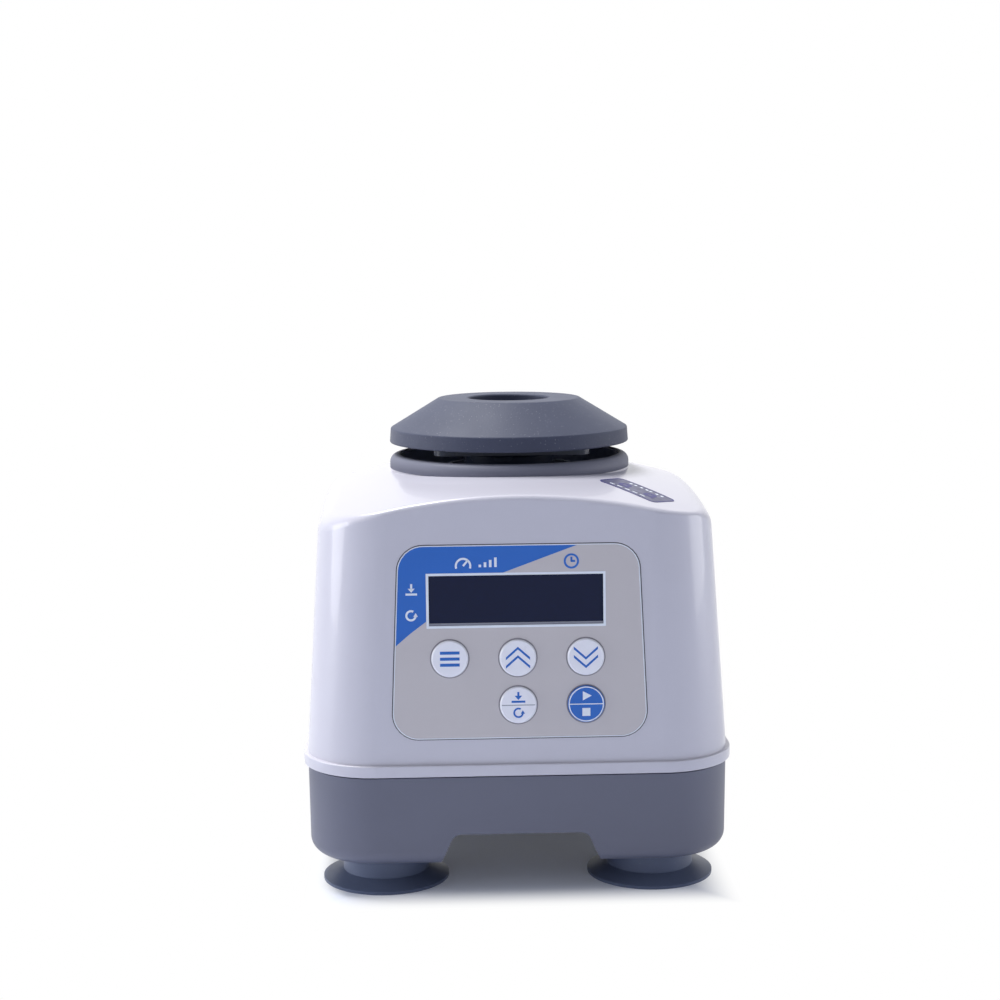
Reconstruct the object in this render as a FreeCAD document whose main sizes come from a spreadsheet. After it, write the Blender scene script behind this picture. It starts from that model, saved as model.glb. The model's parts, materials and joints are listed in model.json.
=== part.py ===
import FreeCAD, Part
import math
import os

import Sketcher

# A bench vortex mixer with a rubber cup head, drawn in millimetres.
# X is to the right, Y to the back and Z up. The origin is on the bench below the middle of the
# base. The head is carried on a crank pin, so it circles without turning, and the whole motor
# carriage can be pressed down a little, which starts the mixer in its touch mode.

Vector = FreeCAD.Vector
Rotation = FreeCAD.Rotation
Placement = FreeCAD.Placement

SIZES = {
    # general fits
    "wall": 3.0,
    "slide_gap": 0.1,
    "shaft_gap": 0.05,
    "seat_gap": 0.3,
    # suction cup feet
    "foot_across": 48.0,
    "foot_along": 49.0,
    "lip_radius": 22.7,
    "lip_thickness": 1.1,
    "stem_radius": 15.6,
    "stem_start": 3.6,
    "cup_hollow": 2.6,
    "foot_screw_radius": 2.5,
    # base
    "base_low": 11.2,
    "base_half": 74.9,
    "base_top": 43.2,
    "base_draft": 0.6,
    "base_corner": 24.5,
    "base_round": 5.5,
    "base_wall": 4.5,
    "notch_height": 11.4,
    "notch_top_half": 20.0,
    "notch_low_half": 28.5,
    "notch_round": 4.0,
    "floor_thickness": 3.0,
    "gasket_height": 0.7,
    "gasket_inset": 1.4,
    "gasket_width": 2.6,
    # casing
    "bead_height": 4.1,
    "bead_half": 76.8,
    "bead_round": 0.45,
    "casing_half": 75.38,
    "casing_draft": 3.55,
    "casing_corner": 25.0,
    "vault_top": 147.5,
    "vault_along": 387.0,
    "vault_across": 229.0,
    "side_round": 9.6,
    "front_round": 1.8,
    "inner_front_round": 1.0,
    "casing_boss_height": 14.0,
    "thread_radius": 1.5,
    "collar_radius": 45.0,
    "collar_top": 148.7,
    "well_radius": 41.6,
    "deck_top": 141.2,
    "deck_hole": 22.0,
    "guard_height": 3.2,
    "guard_width": 1.8,
    # front panel
    "panel_middle": 90.7,
    "panel_height": 67.6,
    "panel_top_half": 41.7,
    "panel_low_half": 44.6,
    "panel_round": 9.0,
    "panel_thickness": 0.8,
    "panel_sink": 0.6,
    "lens_width": 61.8,
    "lens_height": 18.6,
    "lens_thickness": 1.4,
    "lens_sink": 0.35,
    "lens_side": -1.0,
    "lens_up": 14.5,
    "window_width": 56.0,
    "window_height": 15.0,
    "key_radius": 6.4,
    "key_gap": 0.2,
    "key_proud": 0.9,
    "key_travel": 0.4,
    "key_rim": 1.2,
    "key_rim_height": 1.0,
    "key_pitch": 23.6,
    "key_side": -0.6,
    "key_upper": -5.6,
    "key_lower": -22.1,
    "board_depth": 10.2,
    "board_thickness": 1.6,
    "front_board_width": 84.0,
    "front_board_height": 58.0,
    "button_body": 3.4,
    # rear panel
    "opening_width": 84.0,
    "opening_height": 26.0,
    "rear_panel_lap": 4.5,
    "rear_panel_thickness": 2.5,
    "rear_up": 66.0,
    "jack_side": -28.0,
    "jack_hole": 2.8,
    "jack_depth": 11.0,
    "jack_body_radius": 5.6,
    "switch_side": 26.0,
    "switch_width": 19.0,
    "switch_height": 12.8,
    "switch_depth": 15.0,
    "rocker_proud": 1.6,
    "frame_height": 1.5,
    # carriage
    "orbit": 2.0,
    "post_across": 40.0,
    "post_along": 40.0,
    "post_radius": 7.0,
    "pin_radius": 4.0,
    "post_shoulder": 84.0,
    "plate_low": 96.0,
    "plate_thickness": 5.0,
    "plate_half": 50.0,
    "press_travel": 2.0,
    "bush_radius": 6.5,
    "bush_flange": 8.0,
    "spring_radius": 6.6,
    "motor_radius": 26.0,
    "motor_length": 46.0,
    "motor_wall": 2.0,
    "motor_front": 4.0,
    "motor_screw_circle": 17.5,
    "stator_inner": 14.0,
    "flag_height": 11.0,
    "pin_rise": 6.0,
    "bearing_radius": 9.0,
    "bearing_width": 6.0,
    "shaft_radius": 4.0,
    # rotor and carrier
    "hub_radius": 12.0,
    "hub_height": 20.0,
    "hub_lift": 2.0,
    "crank_radius": 5.0,
    "weight_radius": 28.0,
    "weight_thickness": 9.0,
    "race_gap": 0.3,
    "inner_race": 7.4,
    "outer_race": 13.0,
    "race_height": 8.0,
    "race_spacer": 2.0,
    "carrier_hub": 17.0,
    "cover": 2.0,
    "carrier_half": 28.7,
    "carrier_corner": 5.0,
    "disc_low": 150.4,
    "disc_top": 152.2,
    "hub_low": 128.5,
    "orbit_plate_radius": 42.0,
    "orbit_plate_thickness": 3.0,
    "flex_post_radius": 4.0,
    "flex_post_circle": 36.0,
    # rubber head
    "head_top": 169.7,
    "head_top_radius": 26.7,
    "flange_radius": 44.9,
    "flange_flare": 0.4,
    "flange_top": 158.6,
    "flange_low": 153.2,
    "head_seat": 26.0,
    "cup_radius": 15.3,
    "cup_straight": 8.5,
    "cup_bottom_radius": 6.0,
    "cup_bottom": 156.6,
    "spigot_radius": 14.0,
    "spigot_height": 2.0,
    # base floor
    "boss_radius": 4.5,
    "boss_inset": 6.0,
    "ballast_half_x": 30.0,
    "ballast_half_y": 24.0,
    "ballast_thickness": 6.0,
    "ballast_front": 6.0,
    "board_lift": 7.0,
    "main_board_half_x": 29.0,
    "main_board_half_y": 17.0,
    "main_board_margin": 6.4,
    "sink_length": 20.0,
    "sink_width": 9.0,
    "sink_height": 8.0,
    "sink_side": 20.0,
    "capacitor_radius": 4.0,
    "capacitor_height": 9.0,
    "header_width": 20.0,
    "header_height": 7.0,
    "header_front": 9.0,
}


class Size:
    """A number together with the sheet formula that gives it."""

    def __init__(self, formula, value):
        self.formula = formula
        self.value = value

    def __float__(self):
        return self.value

    def __add__(self, other):
        other = sized(other)
        return Size("(%s + %s)" % (self.formula, other.formula), self.value + other.value)

    def __sub__(self, other):
        other = sized(other)
        return Size("(%s - %s)" % (self.formula, other.formula), self.value - other.value)

    def __mul__(self, other):
        other = sized(other)
        return Size("(%s * %s)" % (self.formula, other.formula), self.value * other.value)

    def __truediv__(self, other):
        other = sized(other)
        return Size("(%s / %s)" % (self.formula, other.formula), self.value / other.value)

    def __radd__(self, other):
        return sized(other) + self

    def __rsub__(self, other):
        return sized(other) - self

    def __rmul__(self, other):
        return sized(other) * self

    def __neg__(self):
        return Size("(0 - %s)" % self.formula, -self.value)


def sized(number):
    if isinstance(number, Size):
        return number
    return Size("(%r)" % float(number), float(number))


def smaller(one, other):
    """The lesser of two sizes."""
    one, other = sized(one), sized(other)
    return Size("min(%s; %s)" % (one.formula, other.formula), min(one.value, other.value))


class Sheet:
    """The driving dimensions by name."""


doc = FreeCAD.newDocument("vortex_mixer")
cells = doc.addObject("Spreadsheet::Sheet", "Sizes")
s = Sheet()
for row, (word, number) in enumerate(SIZES.items(), 1):
    cells.set("A%d" % row, word)
    cells.set("B%d" % row, str(number))
    cells.setAlias("B%d" % row, word)
    setattr(s, word, Size("Sizes." + word, float(number)))
doc.recompute()

finished = []


def node(thing, name):
    """Name a finished sub-part."""
    thing.Label = name
    finished.append(thing)
    return thing


def bind(thing, **lengths):
    """Tie dimensions of an object to the sheet."""
    for name, length in lengths.items():
        thing.setExpression(name, sized(length).formula)
    return thing


def place(thing, x=0, y=0, z=0, turn=None):
    """Put an object in its place, tied to the sheet."""
    thing.Placement = Placement(Vector(float(x), float(y), float(z)), turn or Rotation())
    for axis, length in (("x", x), ("y", y), ("z", z)):
        if isinstance(length, Size):
            thing.setExpression("Placement.Base." + axis, length.formula)
    return thing


def block(name, length, width, height, x=0, y=0, z=0):
    """A box whose foot is centred on x and y."""
    thing = doc.addObject("Part::Box", name)
    bind(thing, Length=length, Width=width, Height=height)
    return place(thing, x - sized(length) / 2, y - sized(width) / 2, z)


def rod(name, radius, height, x=0, y=0, z=0, turn=None):
    thing = doc.addObject("Part::Cylinder", name)
    bind(thing, Radius=radius, Height=height)
    return place(thing, x, y, z, turn)


def cone(name, low, high, height, x=0, y=0, z=0, turn=None):
    thing = doc.addObject("Part::Cone", name)
    bind(thing, Radius1=low, Radius2=high, Height=height)
    return place(thing, x, y, z, turn)


def fuse(name, *pieces):
    thing = doc.addObject("Part::MultiFuse", name)
    thing.Shapes = list(pieces)
    return thing


def cut(name, base, *tools):
    thing = doc.addObject("Part::Cut", name)
    thing.Base = base
    thing.Tool = tools[0] if len(tools) == 1 else group(name + "_tools", *tools)
    return thing


def common(name, base, tool):
    thing = doc.addObject("Part::Common", name)
    thing.Base = base
    thing.Tool = tool
    return thing


def group(name, *pieces):
    thing = doc.addObject("Part::Compound", name)
    thing.Links = list(pieces)
    return thing


def mirrored(source, normal):
    thing = doc.addObject("Part::Mirroring", source.Name + "_mirror")
    thing.Source = source
    thing.Normal = normal
    return thing


def pair(name, source, normal=Vector(1, 0, 0)):
    """A piece and its mirror image."""
    return group(name, source, mirrored(source, normal))


def four(name, source):
    """A piece at the front right, and its images in the other three corners."""
    left = mirrored(source, Vector(1, 0, 0))
    return group(
        name, source, left, mirrored(source, Vector(0, 1, 0)), mirrored(left, Vector(0, 1, 0))
    )


def tube(name, outer, inner, height, x=0, y=0, z=0):
    shell = rod(name + "_outside", outer, height, x, y, z)
    return cut(name, shell, rod(name + "_bore", inner, height, x, y, z))


def origin_plane(body, role):
    return next(item for item in body.Origin.OriginFeatures if item.Role == role)


def outline(body, points, role):
    """A closed sketch of straight lines whose corners are tied to the sheet."""
    sketch = body.newObject("Sketcher::SketchObject", body.Name + "_outline")
    sketch.AttachmentSupport = [(origin_plane(body, role), "")]
    sketch.MapMode = "FlatFace"
    corners = [Vector(float(across), float(up), 0) for across, up in points]
    count = len(corners)
    for number in range(count):
        line = Part.LineSegment(corners[number], corners[(number + 1) % count])
        sketch.addGeometry(line, False)
    for number in range(count):
        following = (number + 1) % count
        sketch.addConstraint(Sketcher.Constraint("Coincident", number, 2, following, 1))
    for number, (across, up) in enumerate(points):
        for kind, length in (("DistanceX", across), ("DistanceY", up)):
            rule = Sketcher.Constraint(kind, -1, 1, number, 1, float(length))
            index = sketch.addConstraint(rule)
            if isinstance(length, Size):
                sketch.setExpression("Constraints[%d]" % index, length.formula)
    return sketch


def turned(name, points):
    """A body turned about its own Z axis from a half outline of (radius, height) corners."""
    body = doc.addObject("PartDesign::Body", name)
    sketch = outline(body, points, "XZ_Plane")
    spin = body.newObject("PartDesign::Revolution", name + "_turning")
    spin.Profile = sketch
    spin.ReferenceAxis = (sketch, ["V_Axis"])
    spin.Angle = 360
    return body


def plate(name, points, thickness, role="XY_Plane"):
    """A body of one thickness, padded from an outline."""
    body = doc.addObject("PartDesign::Body", name)
    sketch = outline(body, points, role)
    pad = body.newObject("PartDesign::Pad", name + "_pad")
    pad.Profile = sketch
    pad.setExpression("Length", sized(thickness).formula)
    return body


def rectangle(half_x, half_y):
    return [(-half_x, -half_y), (half_x, -half_y), (half_x, half_y), (-half_x, half_y)]


def soften(body, radius, wanted):
    """Round the edges of a body that answer to a test."""
    doc.recompute()
    tip = body.Tip
    chosen = []
    for number, edge in enumerate(tip.Shape.Edges, 1):
        if wanted(edge):
            chosen.append("Edge%d" % number)
    rounding = body.newObject("PartDesign::Fillet", body.Name + "_rounding")
    rounding.Base = (tip, chosen)
    rounding.setExpression("Radius", sized(radius).formula)
    return body


def rounded(name, source, radius, wanted):
    """A copy of any shape with rounded edges."""
    doc.recompute()
    thing = doc.addObject("Part::Fillet", name)
    thing.Base = source
    size = float(radius)
    edges = enumerate(source.Shape.Edges, 1)
    thing.Edges = [(number, size, size) for number, edge in edges if wanted(edge)]
    return thing


def upright(edge):
    """True for an edge that climbs along Z."""
    box = edge.BoundBox
    return box.ZLength > 0.2 and box.ZLength > 4 * max(box.XLength, box.YLength)


def circle_at(radius, height, reach=0.02):
    """A test for level circles of one radius at one height."""

    def wanted(edge):
        box = edge.BoundBox
        level = box.ZLength < reach and abs(box.ZMin - float(height)) < reach
        return level and abs(box.XLength / 2 - float(radius)) < reach

    return wanted


# Feet: four suction cups with a thin lip, a hollow underside and a screw up into the base.

foot_x = s.foot_across
foot_y = s.foot_along
hollow_radius = s.lip_radius - s.lip_thickness
screw_seat = s.cup_hollow + 3.4
cup = turned(
    "cup_profile",
    [
        (s.foot_screw_radius + s.seat_gap, screw_seat),
        (s.foot_screw_radius + 2.6, screw_seat),
        (s.foot_screw_radius + 2.6, s.cup_hollow),
        (s.stem_radius - 3.0, s.cup_hollow),
        (hollow_radius, 0),
        (s.lip_radius, 0),
        (s.lip_radius, s.lip_thickness),
        (s.stem_radius, s.stem_start),
        (s.stem_radius, s.base_low),
        (s.foot_screw_radius + s.seat_gap, s.base_low),
    ],
)
place(cup, foot_x, -foot_y)
node(four("suction_cup_set", cup), "suction_cups")

screw_top = s.base_low + s.notch_height + s.floor_thickness
foot_screw = turned(
    "foot_screw",
    [
        (0, screw_seat - 2.4),
        (s.foot_screw_radius + 2.2, screw_seat - 2.4),
        (s.foot_screw_radius + 2.2, screw_seat),
        (s.foot_screw_radius, screw_seat),
        (s.foot_screw_radius, screw_top - 1.0),
        (0, screw_top - 1.0),
    ],
)
place(foot_screw, foot_x, -foot_y)
node(four("foot_screw_set", foot_screw), "foot_screws")

# Base: a cast tub with a low arch at the front and back, a raised floor and four foot pads.

base_height = s.base_top - s.base_low
floor_low = s.base_low + s.notch_height
floor_top = floor_low + s.floor_thickness


def tapered_block(name, half, height, draft, z):
    """A square block whose four walls lean inwards by the draft."""
    lean = math.tan(math.radians(float(draft)))
    thing = doc.addObject("Part::Wedge", name)
    slope = Size("tan(%s * 1 deg)" % draft.formula, lean)
    top = half - slope * height
    bind(thing, Xmin=-half, Xmax=half, Zmin=-half, Zmax=half, Ymin=0, Ymax=height)
    bind(thing, X2min=-top, X2max=top, Z2min=-top, Z2max=top)
    place(thing, 0, 0, z, Rotation(Vector(1, 0, 0), 90))
    return thing


def corner_edge(edge):
    box = edge.BoundBox
    middle = edge.CenterOfMass
    return box.ZLength > 5 and abs(abs(middle.x) - abs(middle.y)) < 0.5


base_block = tapered_block("base_block", s.base_half, base_height, -s.base_draft, s.base_low)
base_corners = rounded("base_corners", base_block, s.base_corner, corner_edge)
base_outside = rounded(
    "base_outside", base_corners, s.base_round, lambda edge: edge.BoundBox.ZMax < float(s.base_low) + 0.1
)
cavity_half = s.base_half - s.base_wall
cavity_block = block("base_cavity_block", cavity_half * 2, cavity_half * 2, base_height, 0, 0, floor_top)
base_cavity = rounded("base_cavity", cavity_block, s.base_corner - s.base_wall, corner_edge)
under_block = block(
    "base_under_block", cavity_half * 2, cavity_half * 2, s.notch_height + 1, 0, 0, s.base_low - 1
)
base_under = rounded("base_under", under_block, s.base_corner - s.base_wall, corner_edge)

notch = plate(
    "notch",
    [
        (-s.notch_low_half, -1),
        (-s.notch_low_half, 0),
        (-s.notch_top_half - 3.4, s.notch_height),
        (s.notch_top_half + 3.4, s.notch_height),
        (s.notch_low_half, 0),
        (s.notch_low_half, -1),
    ],
    s.base_half * 2 + 4,
    "XZ_Plane",
)
soften(
    notch,
    s.notch_round,
    lambda edge: edge.BoundBox.YLength > 50 and abs(edge.BoundBox.ZMin - float(s.notch_height)) < 0.1,
)
place(notch, 0, s.base_half + 2, s.base_low)

foot_pad = rod("foot_pad", s.stem_radius + 3.0, s.notch_height, foot_x, -foot_y, s.base_low)
pad_hole = rod(
    "pad_hole", s.foot_screw_radius, s.notch_height + s.floor_thickness + 2, foot_x, -foot_y,
    s.base_low - 1,
)
screw_x = smaller(s.base_half - s.base_wall, s.casing_half - s.wall) - s.boss_inset
screw_y = s.foot_along - s.lip_radius - s.boss_inset
boss = rod("base_boss", s.boss_radius, s.base_top - floor_low, screw_x, -screw_y, floor_low)
boss_hole = rod("base_boss_hole", 1.9, s.base_top - s.base_low + 2, screw_x, -screw_y, s.base_low - 1)
boss_rib = block(
    "base_boss_rib", s.base_half - screw_x - s.base_wall / 2, 3, s.base_top - floor_top,
    (s.base_half + screw_x) / 2 - s.base_wall / 4, -screw_y, floor_top,
)
ring_wall = cut("base_ring", cut("base_hollow", base_outside, base_cavity, base_under), notch)
post_x = s.post_across
post_y = s.post_along
post_boss = rod("post_boss", s.post_radius + 2, 2.4, post_x, -post_y, floor_top - 0.4)
floor_rib = block(
    "floor_rib", 2.4, cavity_half * 2 + 1, 4, s.notch_low_half + 2, 0, floor_low - 4
)
base_solid = fuse(
    "base_solid",
    ring_wall,
    four("foot_pads", foot_pad),
    four("base_bosses", boss),
    four("base_boss_ribs", boss_rib),
    four("post_bosses", post_boss),
    pair("floor_ribs", floor_rib),
)
post_screw_hole = rod("post_screw_hole", 2.2, s.floor_thickness + 6, post_x, -post_y, floor_low - 2)
post_head_room = rod("post_head_room", 4.0, s.notch_height + 1, post_x, -post_y, s.base_low - 1)
base_drilled = cut(
    "base_drilled",
    base_solid,
    four("pad_holes", pad_hole),
    four("base_boss_holes", boss_hole),
    four("post_screw_holes", post_screw_hole),
    four("post_head_rooms", post_head_room),
)
node(base_drilled, "lower_housing")

gasket_half = s.base_half - s.gasket_inset
gasket_outside = rounded(
    "gasket_outside",
    block("gasket_block", gasket_half * 2, gasket_half * 2, s.gasket_height, 0, 0, s.base_top),
    s.base_corner - s.gasket_inset,
    upright,
)
gasket_inner = gasket_half - s.gasket_width
gasket_inside = rounded(
    "gasket_inside",
    block("gasket_core", gasket_inner * 2, gasket_inner * 2, s.gasket_height, 0, 0, s.base_top),
    s.base_corner - s.gasket_inset - s.gasket_width,
    upright,
)
node(cut("gasket", gasket_outside, gasket_inside), "seam_gasket")

# Casing: a drafted square under a vaulted top, with soft sides, a crease at the front and back,
# a bead at the seam and a collar.

casing_low = s.base_top + s.gasket_height
bead_top = casing_low + s.bead_height
lean = Size("tan(Sizes.casing_draft * 1 deg)", math.tan(math.radians(float(s.casing_draft))))
upright_share = Size("cos(Sizes.casing_draft * 1 deg)", math.cos(math.radians(float(s.casing_draft))))


def rooted(square):
    return Size("sqrt%s" % square.formula, math.sqrt(float(square)))


def vault(name, inset):
    """A ring whose outer face is the casing's top: flat arcs of one radius across and another
    along. It is turned about a line far below, with its seam on the underside."""
    across = s.vault_across - inset
    along = s.vault_along - inset
    half = s.casing_half + 20.0
    low = along - 130.0
    edge = along - across + rooted(across * across - half * half)
    body = doc.addObject("PartDesign::Body", name)
    sketch = body.newObject("Sketcher::SketchObject", name + "_outline")
    sketch.AttachmentSupport = [(origin_plane(body, "XZ_Plane"), "")]
    sketch.MapMode = "FlatFace"
    left_low, right_low = Vector(-float(half), float(low), 0), Vector(float(half), float(low), 0)
    left_top, right_top = Vector(-float(half), float(edge), 0), Vector(float(half), float(edge), 0)
    sketch.addGeometry(Part.LineSegment(left_low, right_low), False)
    sketch.addGeometry(Part.LineSegment(right_low, right_top), False)
    sketch.addGeometry(Part.Arc(right_top, Vector(0, float(along), 0), left_top), False)
    sketch.addGeometry(Part.LineSegment(left_top, left_low), False)
    for number in range(4):
        sketch.addConstraint(Sketcher.Constraint("Coincident", number, 2, (number + 1) % 4, 1))
    for kind, line, point, length in (
        ("DistanceX", 0, 1, -half),
        ("DistanceY", 0, 1, low),
        ("DistanceX", 0, 2, half),
        ("DistanceY", 0, 2, low),
        ("DistanceX", 1, 2, half),
        ("DistanceX", 3, 1, -half),
        ("DistanceX", 2, 3, sized(0)),
        ("DistanceY", 2, 3, along - across),
    ):
        rule = Sketcher.Constraint(kind, -1, 1, line, point, float(length))
        sketch.setExpression("Constraints[%d]" % sketch.addConstraint(rule), length.formula)
    rule = sketch.addConstraint(Sketcher.Constraint("Radius", 2, float(across)))
    sketch.setExpression("Constraints[%d]" % rule, across.formula)
    spin = body.newObject("PartDesign::Revolution", name + "_turning")
    spin.Profile = sketch
    spin.ReferenceAxis = (sketch, ["H_Axis"])
    spin.Angle = 360
    return place(body, 0, 0, s.vault_top - s.vault_along, Rotation(Vector(1, 0, 0), 180))


def crowned(name, source, front, side):
    """The rounds from wall to top: small at the front and back, wide at the two sides, and
    changing from one to the other round each corner."""
    doc.recompute()
    thing = doc.addObject("Part::Fillet", name)
    thing.Base = source
    front, side = float(front), float(side)
    high = float(s.collar_top) - 30.0
    chosen = []
    for number, edge in enumerate(source.Shape.Edges, 1):
        box = edge.BoundBox
        if box.ZMin < high or max(box.XLength, box.YLength) < 5:
            continue
        if box.XLength > float(s.casing_half):
            chosen.append((number, front, front))
        elif box.YLength > float(s.casing_half):
            chosen.append((number, side, side))
        else:
            ends = [edge.Curve.value(end) for end in (edge.LastParameter, edge.FirstParameter)]
            chosen.append((number, *(front if abs(end.y) > abs(end.x) else side for end in ends)))
    thing.Edges = chosen
    return thing


def casing_form(name, inset, front):
    """The casing's outer form, or its hollow when an inset is given."""
    half = s.casing_half + lean * s.bead_height - inset / upright_share
    height = s.vault_top - casing_low + 8
    walls = tapered_block(name + "_walls", half, height, s.casing_draft, casing_low)
    corners = rounded(name + "_corners", walls, s.casing_corner - inset, corner_edge)
    form = common(name + "_form", corners, vault(name + "_vault", inset))
    return crowned(name + "_crowned", form, front, s.side_round - inset)


casing_outside = casing_form("casing", sized(0), s.front_round)
casing_inside = casing_form("hollow", s.wall, s.inner_front_round)

bead_block = block("bead_block", s.bead_half * 2, s.bead_half * 2, s.bead_height, 0, 0, casing_low)
bead_corner = s.casing_corner + s.bead_half - s.casing_half
bead_corners = rounded("bead_corners", bead_block, bead_corner, upright)
bead = rounded("bead", bead_corners, s.bead_round, lambda edge: edge.BoundBox.ZLength < 0.1)
collar = turned(
    "collar_profile",
    [
        (s.well_radius, s.deck_top - s.wall),
        (s.collar_radius, s.deck_top - s.wall),
        (s.collar_radius, s.collar_top),
        (s.well_radius, s.collar_top),
    ],
)
collar_round = (s.collar_radius - s.well_radius) * 0.8
soften(collar, collar_round, circle_at(s.collar_radius, s.collar_top))
guard_outer = s.deck_hole + s.guard_width
deck = turned(
    "deck_profile",
    [
        (s.deck_hole, s.deck_top - s.wall),
        (s.well_radius + 1, s.deck_top - s.wall),
        (s.well_radius + 1, s.deck_top),
        (guard_outer, s.deck_top),
        (guard_outer, s.deck_top + s.guard_height),
        (s.deck_hole, s.deck_top + s.guard_height),
    ],
)
well = rod("well", s.well_radius, s.vault_top, 0, 0, s.deck_top - s.wall - 1)

# Front panel frame: x to the right, up along the leaning wall, and out of the wall.

front_turn = Rotation(Vector(1, 0, 0), 90 - float(s.casing_draft))
front_y = -(s.casing_half - lean * (s.panel_middle - bead_top))
rear_y = s.casing_half - lean * (s.rear_up - bead_top)
rear_turn = Rotation(Vector(0, 0, 1), 180).multiply(
    Rotation(Vector(1, 0, 0), 90 - float(s.casing_draft))
)


def on_front(name, *pieces):
    """Pieces drawn flat, set on the leaning front wall."""
    return place(group(name, *pieces), 0, front_y, s.panel_middle, front_turn)


def on_rear(name, *pieces):
    """Pieces drawn flat, set on the leaning rear wall, seen from behind."""
    return place(group(name, *pieces), 0, rear_y, s.rear_up, rear_turn)


def panel_outline(grow):
    half = s.panel_height / 2 + grow
    return [
        (-(s.panel_low_half + grow), -half),
        (s.panel_low_half + grow, -half),
        (s.panel_top_half + grow, half),
        (-(s.panel_top_half + grow), half),
    ]


KEYS = {
    "key_menu": (s.key_side - s.key_pitch, s.key_upper),
    "key_up": (s.key_side, s.key_upper),
    "key_down": (s.key_side + s.key_pitch, s.key_upper),
    "key_touch": (s.key_side, s.key_lower),
    "key_start": (s.key_side + s.key_pitch, s.key_lower),
}

panel_recess = plate("panel_recess", panel_outline(s.key_gap), s.panel_sink + 2)
soften(panel_recess, s.panel_round + s.key_gap, upright)
place(panel_recess, 0, 0, -s.panel_sink)
wall_reach = s.wall + 2
front_cutters = [
    panel_recess,
    block(
        "window_cut", s.window_width, s.window_height, wall_reach + 2, s.lens_side, s.lens_up, -wall_reach
    ),
    block(
        "lens_seat",
        s.lens_width + 2 * s.key_gap,
        s.lens_height + 2 * s.key_gap,
        3,
        s.lens_side,
        s.lens_up,
        s.panel_thickness - s.panel_sink - s.lens_sink - s.lens_thickness,
    ),
]
for name, (side, up) in KEYS.items():
    front_cutters.append(
        rod(name + "_hole", s.key_radius + s.key_gap, wall_reach + 2, side, up, -wall_reach)
    )
front_cut = on_front("front_cut", *front_cutters)

rear_opening = rounded(
    "rear_opening",
    block("rear_opening_block", s.opening_width, s.opening_height, wall_reach + 3, 0, 0, -wall_reach),
    3,
    upright,
)
lap = s.rear_panel_lap
rear_screw_x = s.opening_width / 2 + lap / 2
rear_screw_y = s.opening_height / 2 - 3
rear_screw_hole = rod("rear_screw_hole", 1.2, wall_reach + 3, rear_screw_x, -rear_screw_y, -wall_reach)
rear_head_hole = cone("rear_head_hole", 1.2, 2.3, 1.3, rear_screw_x, -rear_screw_y, -1.2)
rear_cut = on_rear(
    "rear_cut",
    rear_opening,
    four("rear_screw_holes", rear_screw_hole),
    four("rear_head_holes", rear_head_hole),
)

casing_boss_low = casing_low
casing_boss = rod("casing_boss", s.boss_radius, s.casing_boss_height, screw_x, -screw_y, casing_boss_low)
casing_boss_rib = block(
    "casing_boss_rib",
    s.casing_half - screw_x - s.wall / 2,
    3,
    s.casing_boss_height,
    (s.casing_half + screw_x) / 2 - s.wall / 4,
    -screw_y,
    casing_boss_low,
)
casing_boss_hole = rod("casing_boss_hole", s.thread_radius, 12, screw_x, -screw_y, casing_boss_low - 1)

board_face = -s.board_depth
board_screw_x = s.front_board_width / 2 - 3.5
board_screw_y = s.front_board_height / 2 - 3.5
pillar_length = s.board_depth - s.wall + 0.6
board_pillar = rod("board_pillar", 3, pillar_length, board_screw_x, -board_screw_y, board_face)
board_pillars = on_front("board_pillars", four("board_pillar_set", board_pillar))
pillar_hole = rod("pillar_hole", 1.1, 6, board_screw_x, -board_screw_y, board_face - 1)
pillar_holes = on_front("pillar_holes", four("pillar_hole_set", pillar_hole))

casing_shell = cut("casing_shell", fuse("casing_beaded", casing_outside, bead), casing_inside, well)
casing_dressed = fuse(
    "casing_dressed",
    casing_shell,
    collar,
    deck,
    board_pillars,
    four("casing_bosses", casing_boss),
    four("casing_boss_ribs", casing_boss_rib),
)
upper = cut(
    "upper",
    casing_dressed,
    front_cut,
    rear_cut,
    pillar_holes,
    four("casing_boss_holes", casing_boss_hole),
)
node(upper, "upper_housing")

casing_screw = turned(
    "casing_screw",
    [
        (0, floor_low - 2.2),
        (3.2, floor_low - 2.2),
        (3.2, floor_low),
        (1.4, floor_low),
        (1.4, casing_boss_low + 9),
        (0, casing_boss_low + 9),
    ],
)
place(casing_screw, screw_x, -screw_y)
node(four("casing_screw_set", casing_screw), "casing_screws")

# Front panel: film, tinted lens, digit block, circuit board, key switches and five keys.

panel = plate("panel", panel_outline(sized(0)), s.panel_thickness)
soften(panel, s.panel_round, upright)
panel_tools = [
    block("panel_window", s.lens_width + 0.2, s.lens_height + 0.2, 3, s.lens_side, s.lens_up, -1)
]
for name, (side, up) in KEYS.items():
    panel_tools.append(rod(name + "_opening", s.key_radius + s.key_gap / 2, 3, side, up, -1))
place(panel, 0, 0, -s.panel_sink)
node(on_front("panel_on_front", cut("panel_cut", panel, *panel_tools)), "panel_overlay")

lens_low = s.panel_thickness - s.panel_sink - s.lens_sink - s.lens_thickness
lens = plate("lens", rectangle(s.lens_width / 2, s.lens_height / 2), s.lens_thickness)
soften(lens, 0.8, upright)
place(lens, s.lens_side, s.lens_up, lens_low)
node(on_front("lens_on_front", lens), "display_lens")

digit_front = -s.wall + 1.2
digit_block = block(
    "digit_block",
    s.window_width - 1.2,
    s.window_height - 1.2,
    s.board_depth + digit_front,
    s.lens_side,
    s.lens_up,
    board_face,
)
node(on_front("digits_on_front", digit_block), "display_digits")

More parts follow.
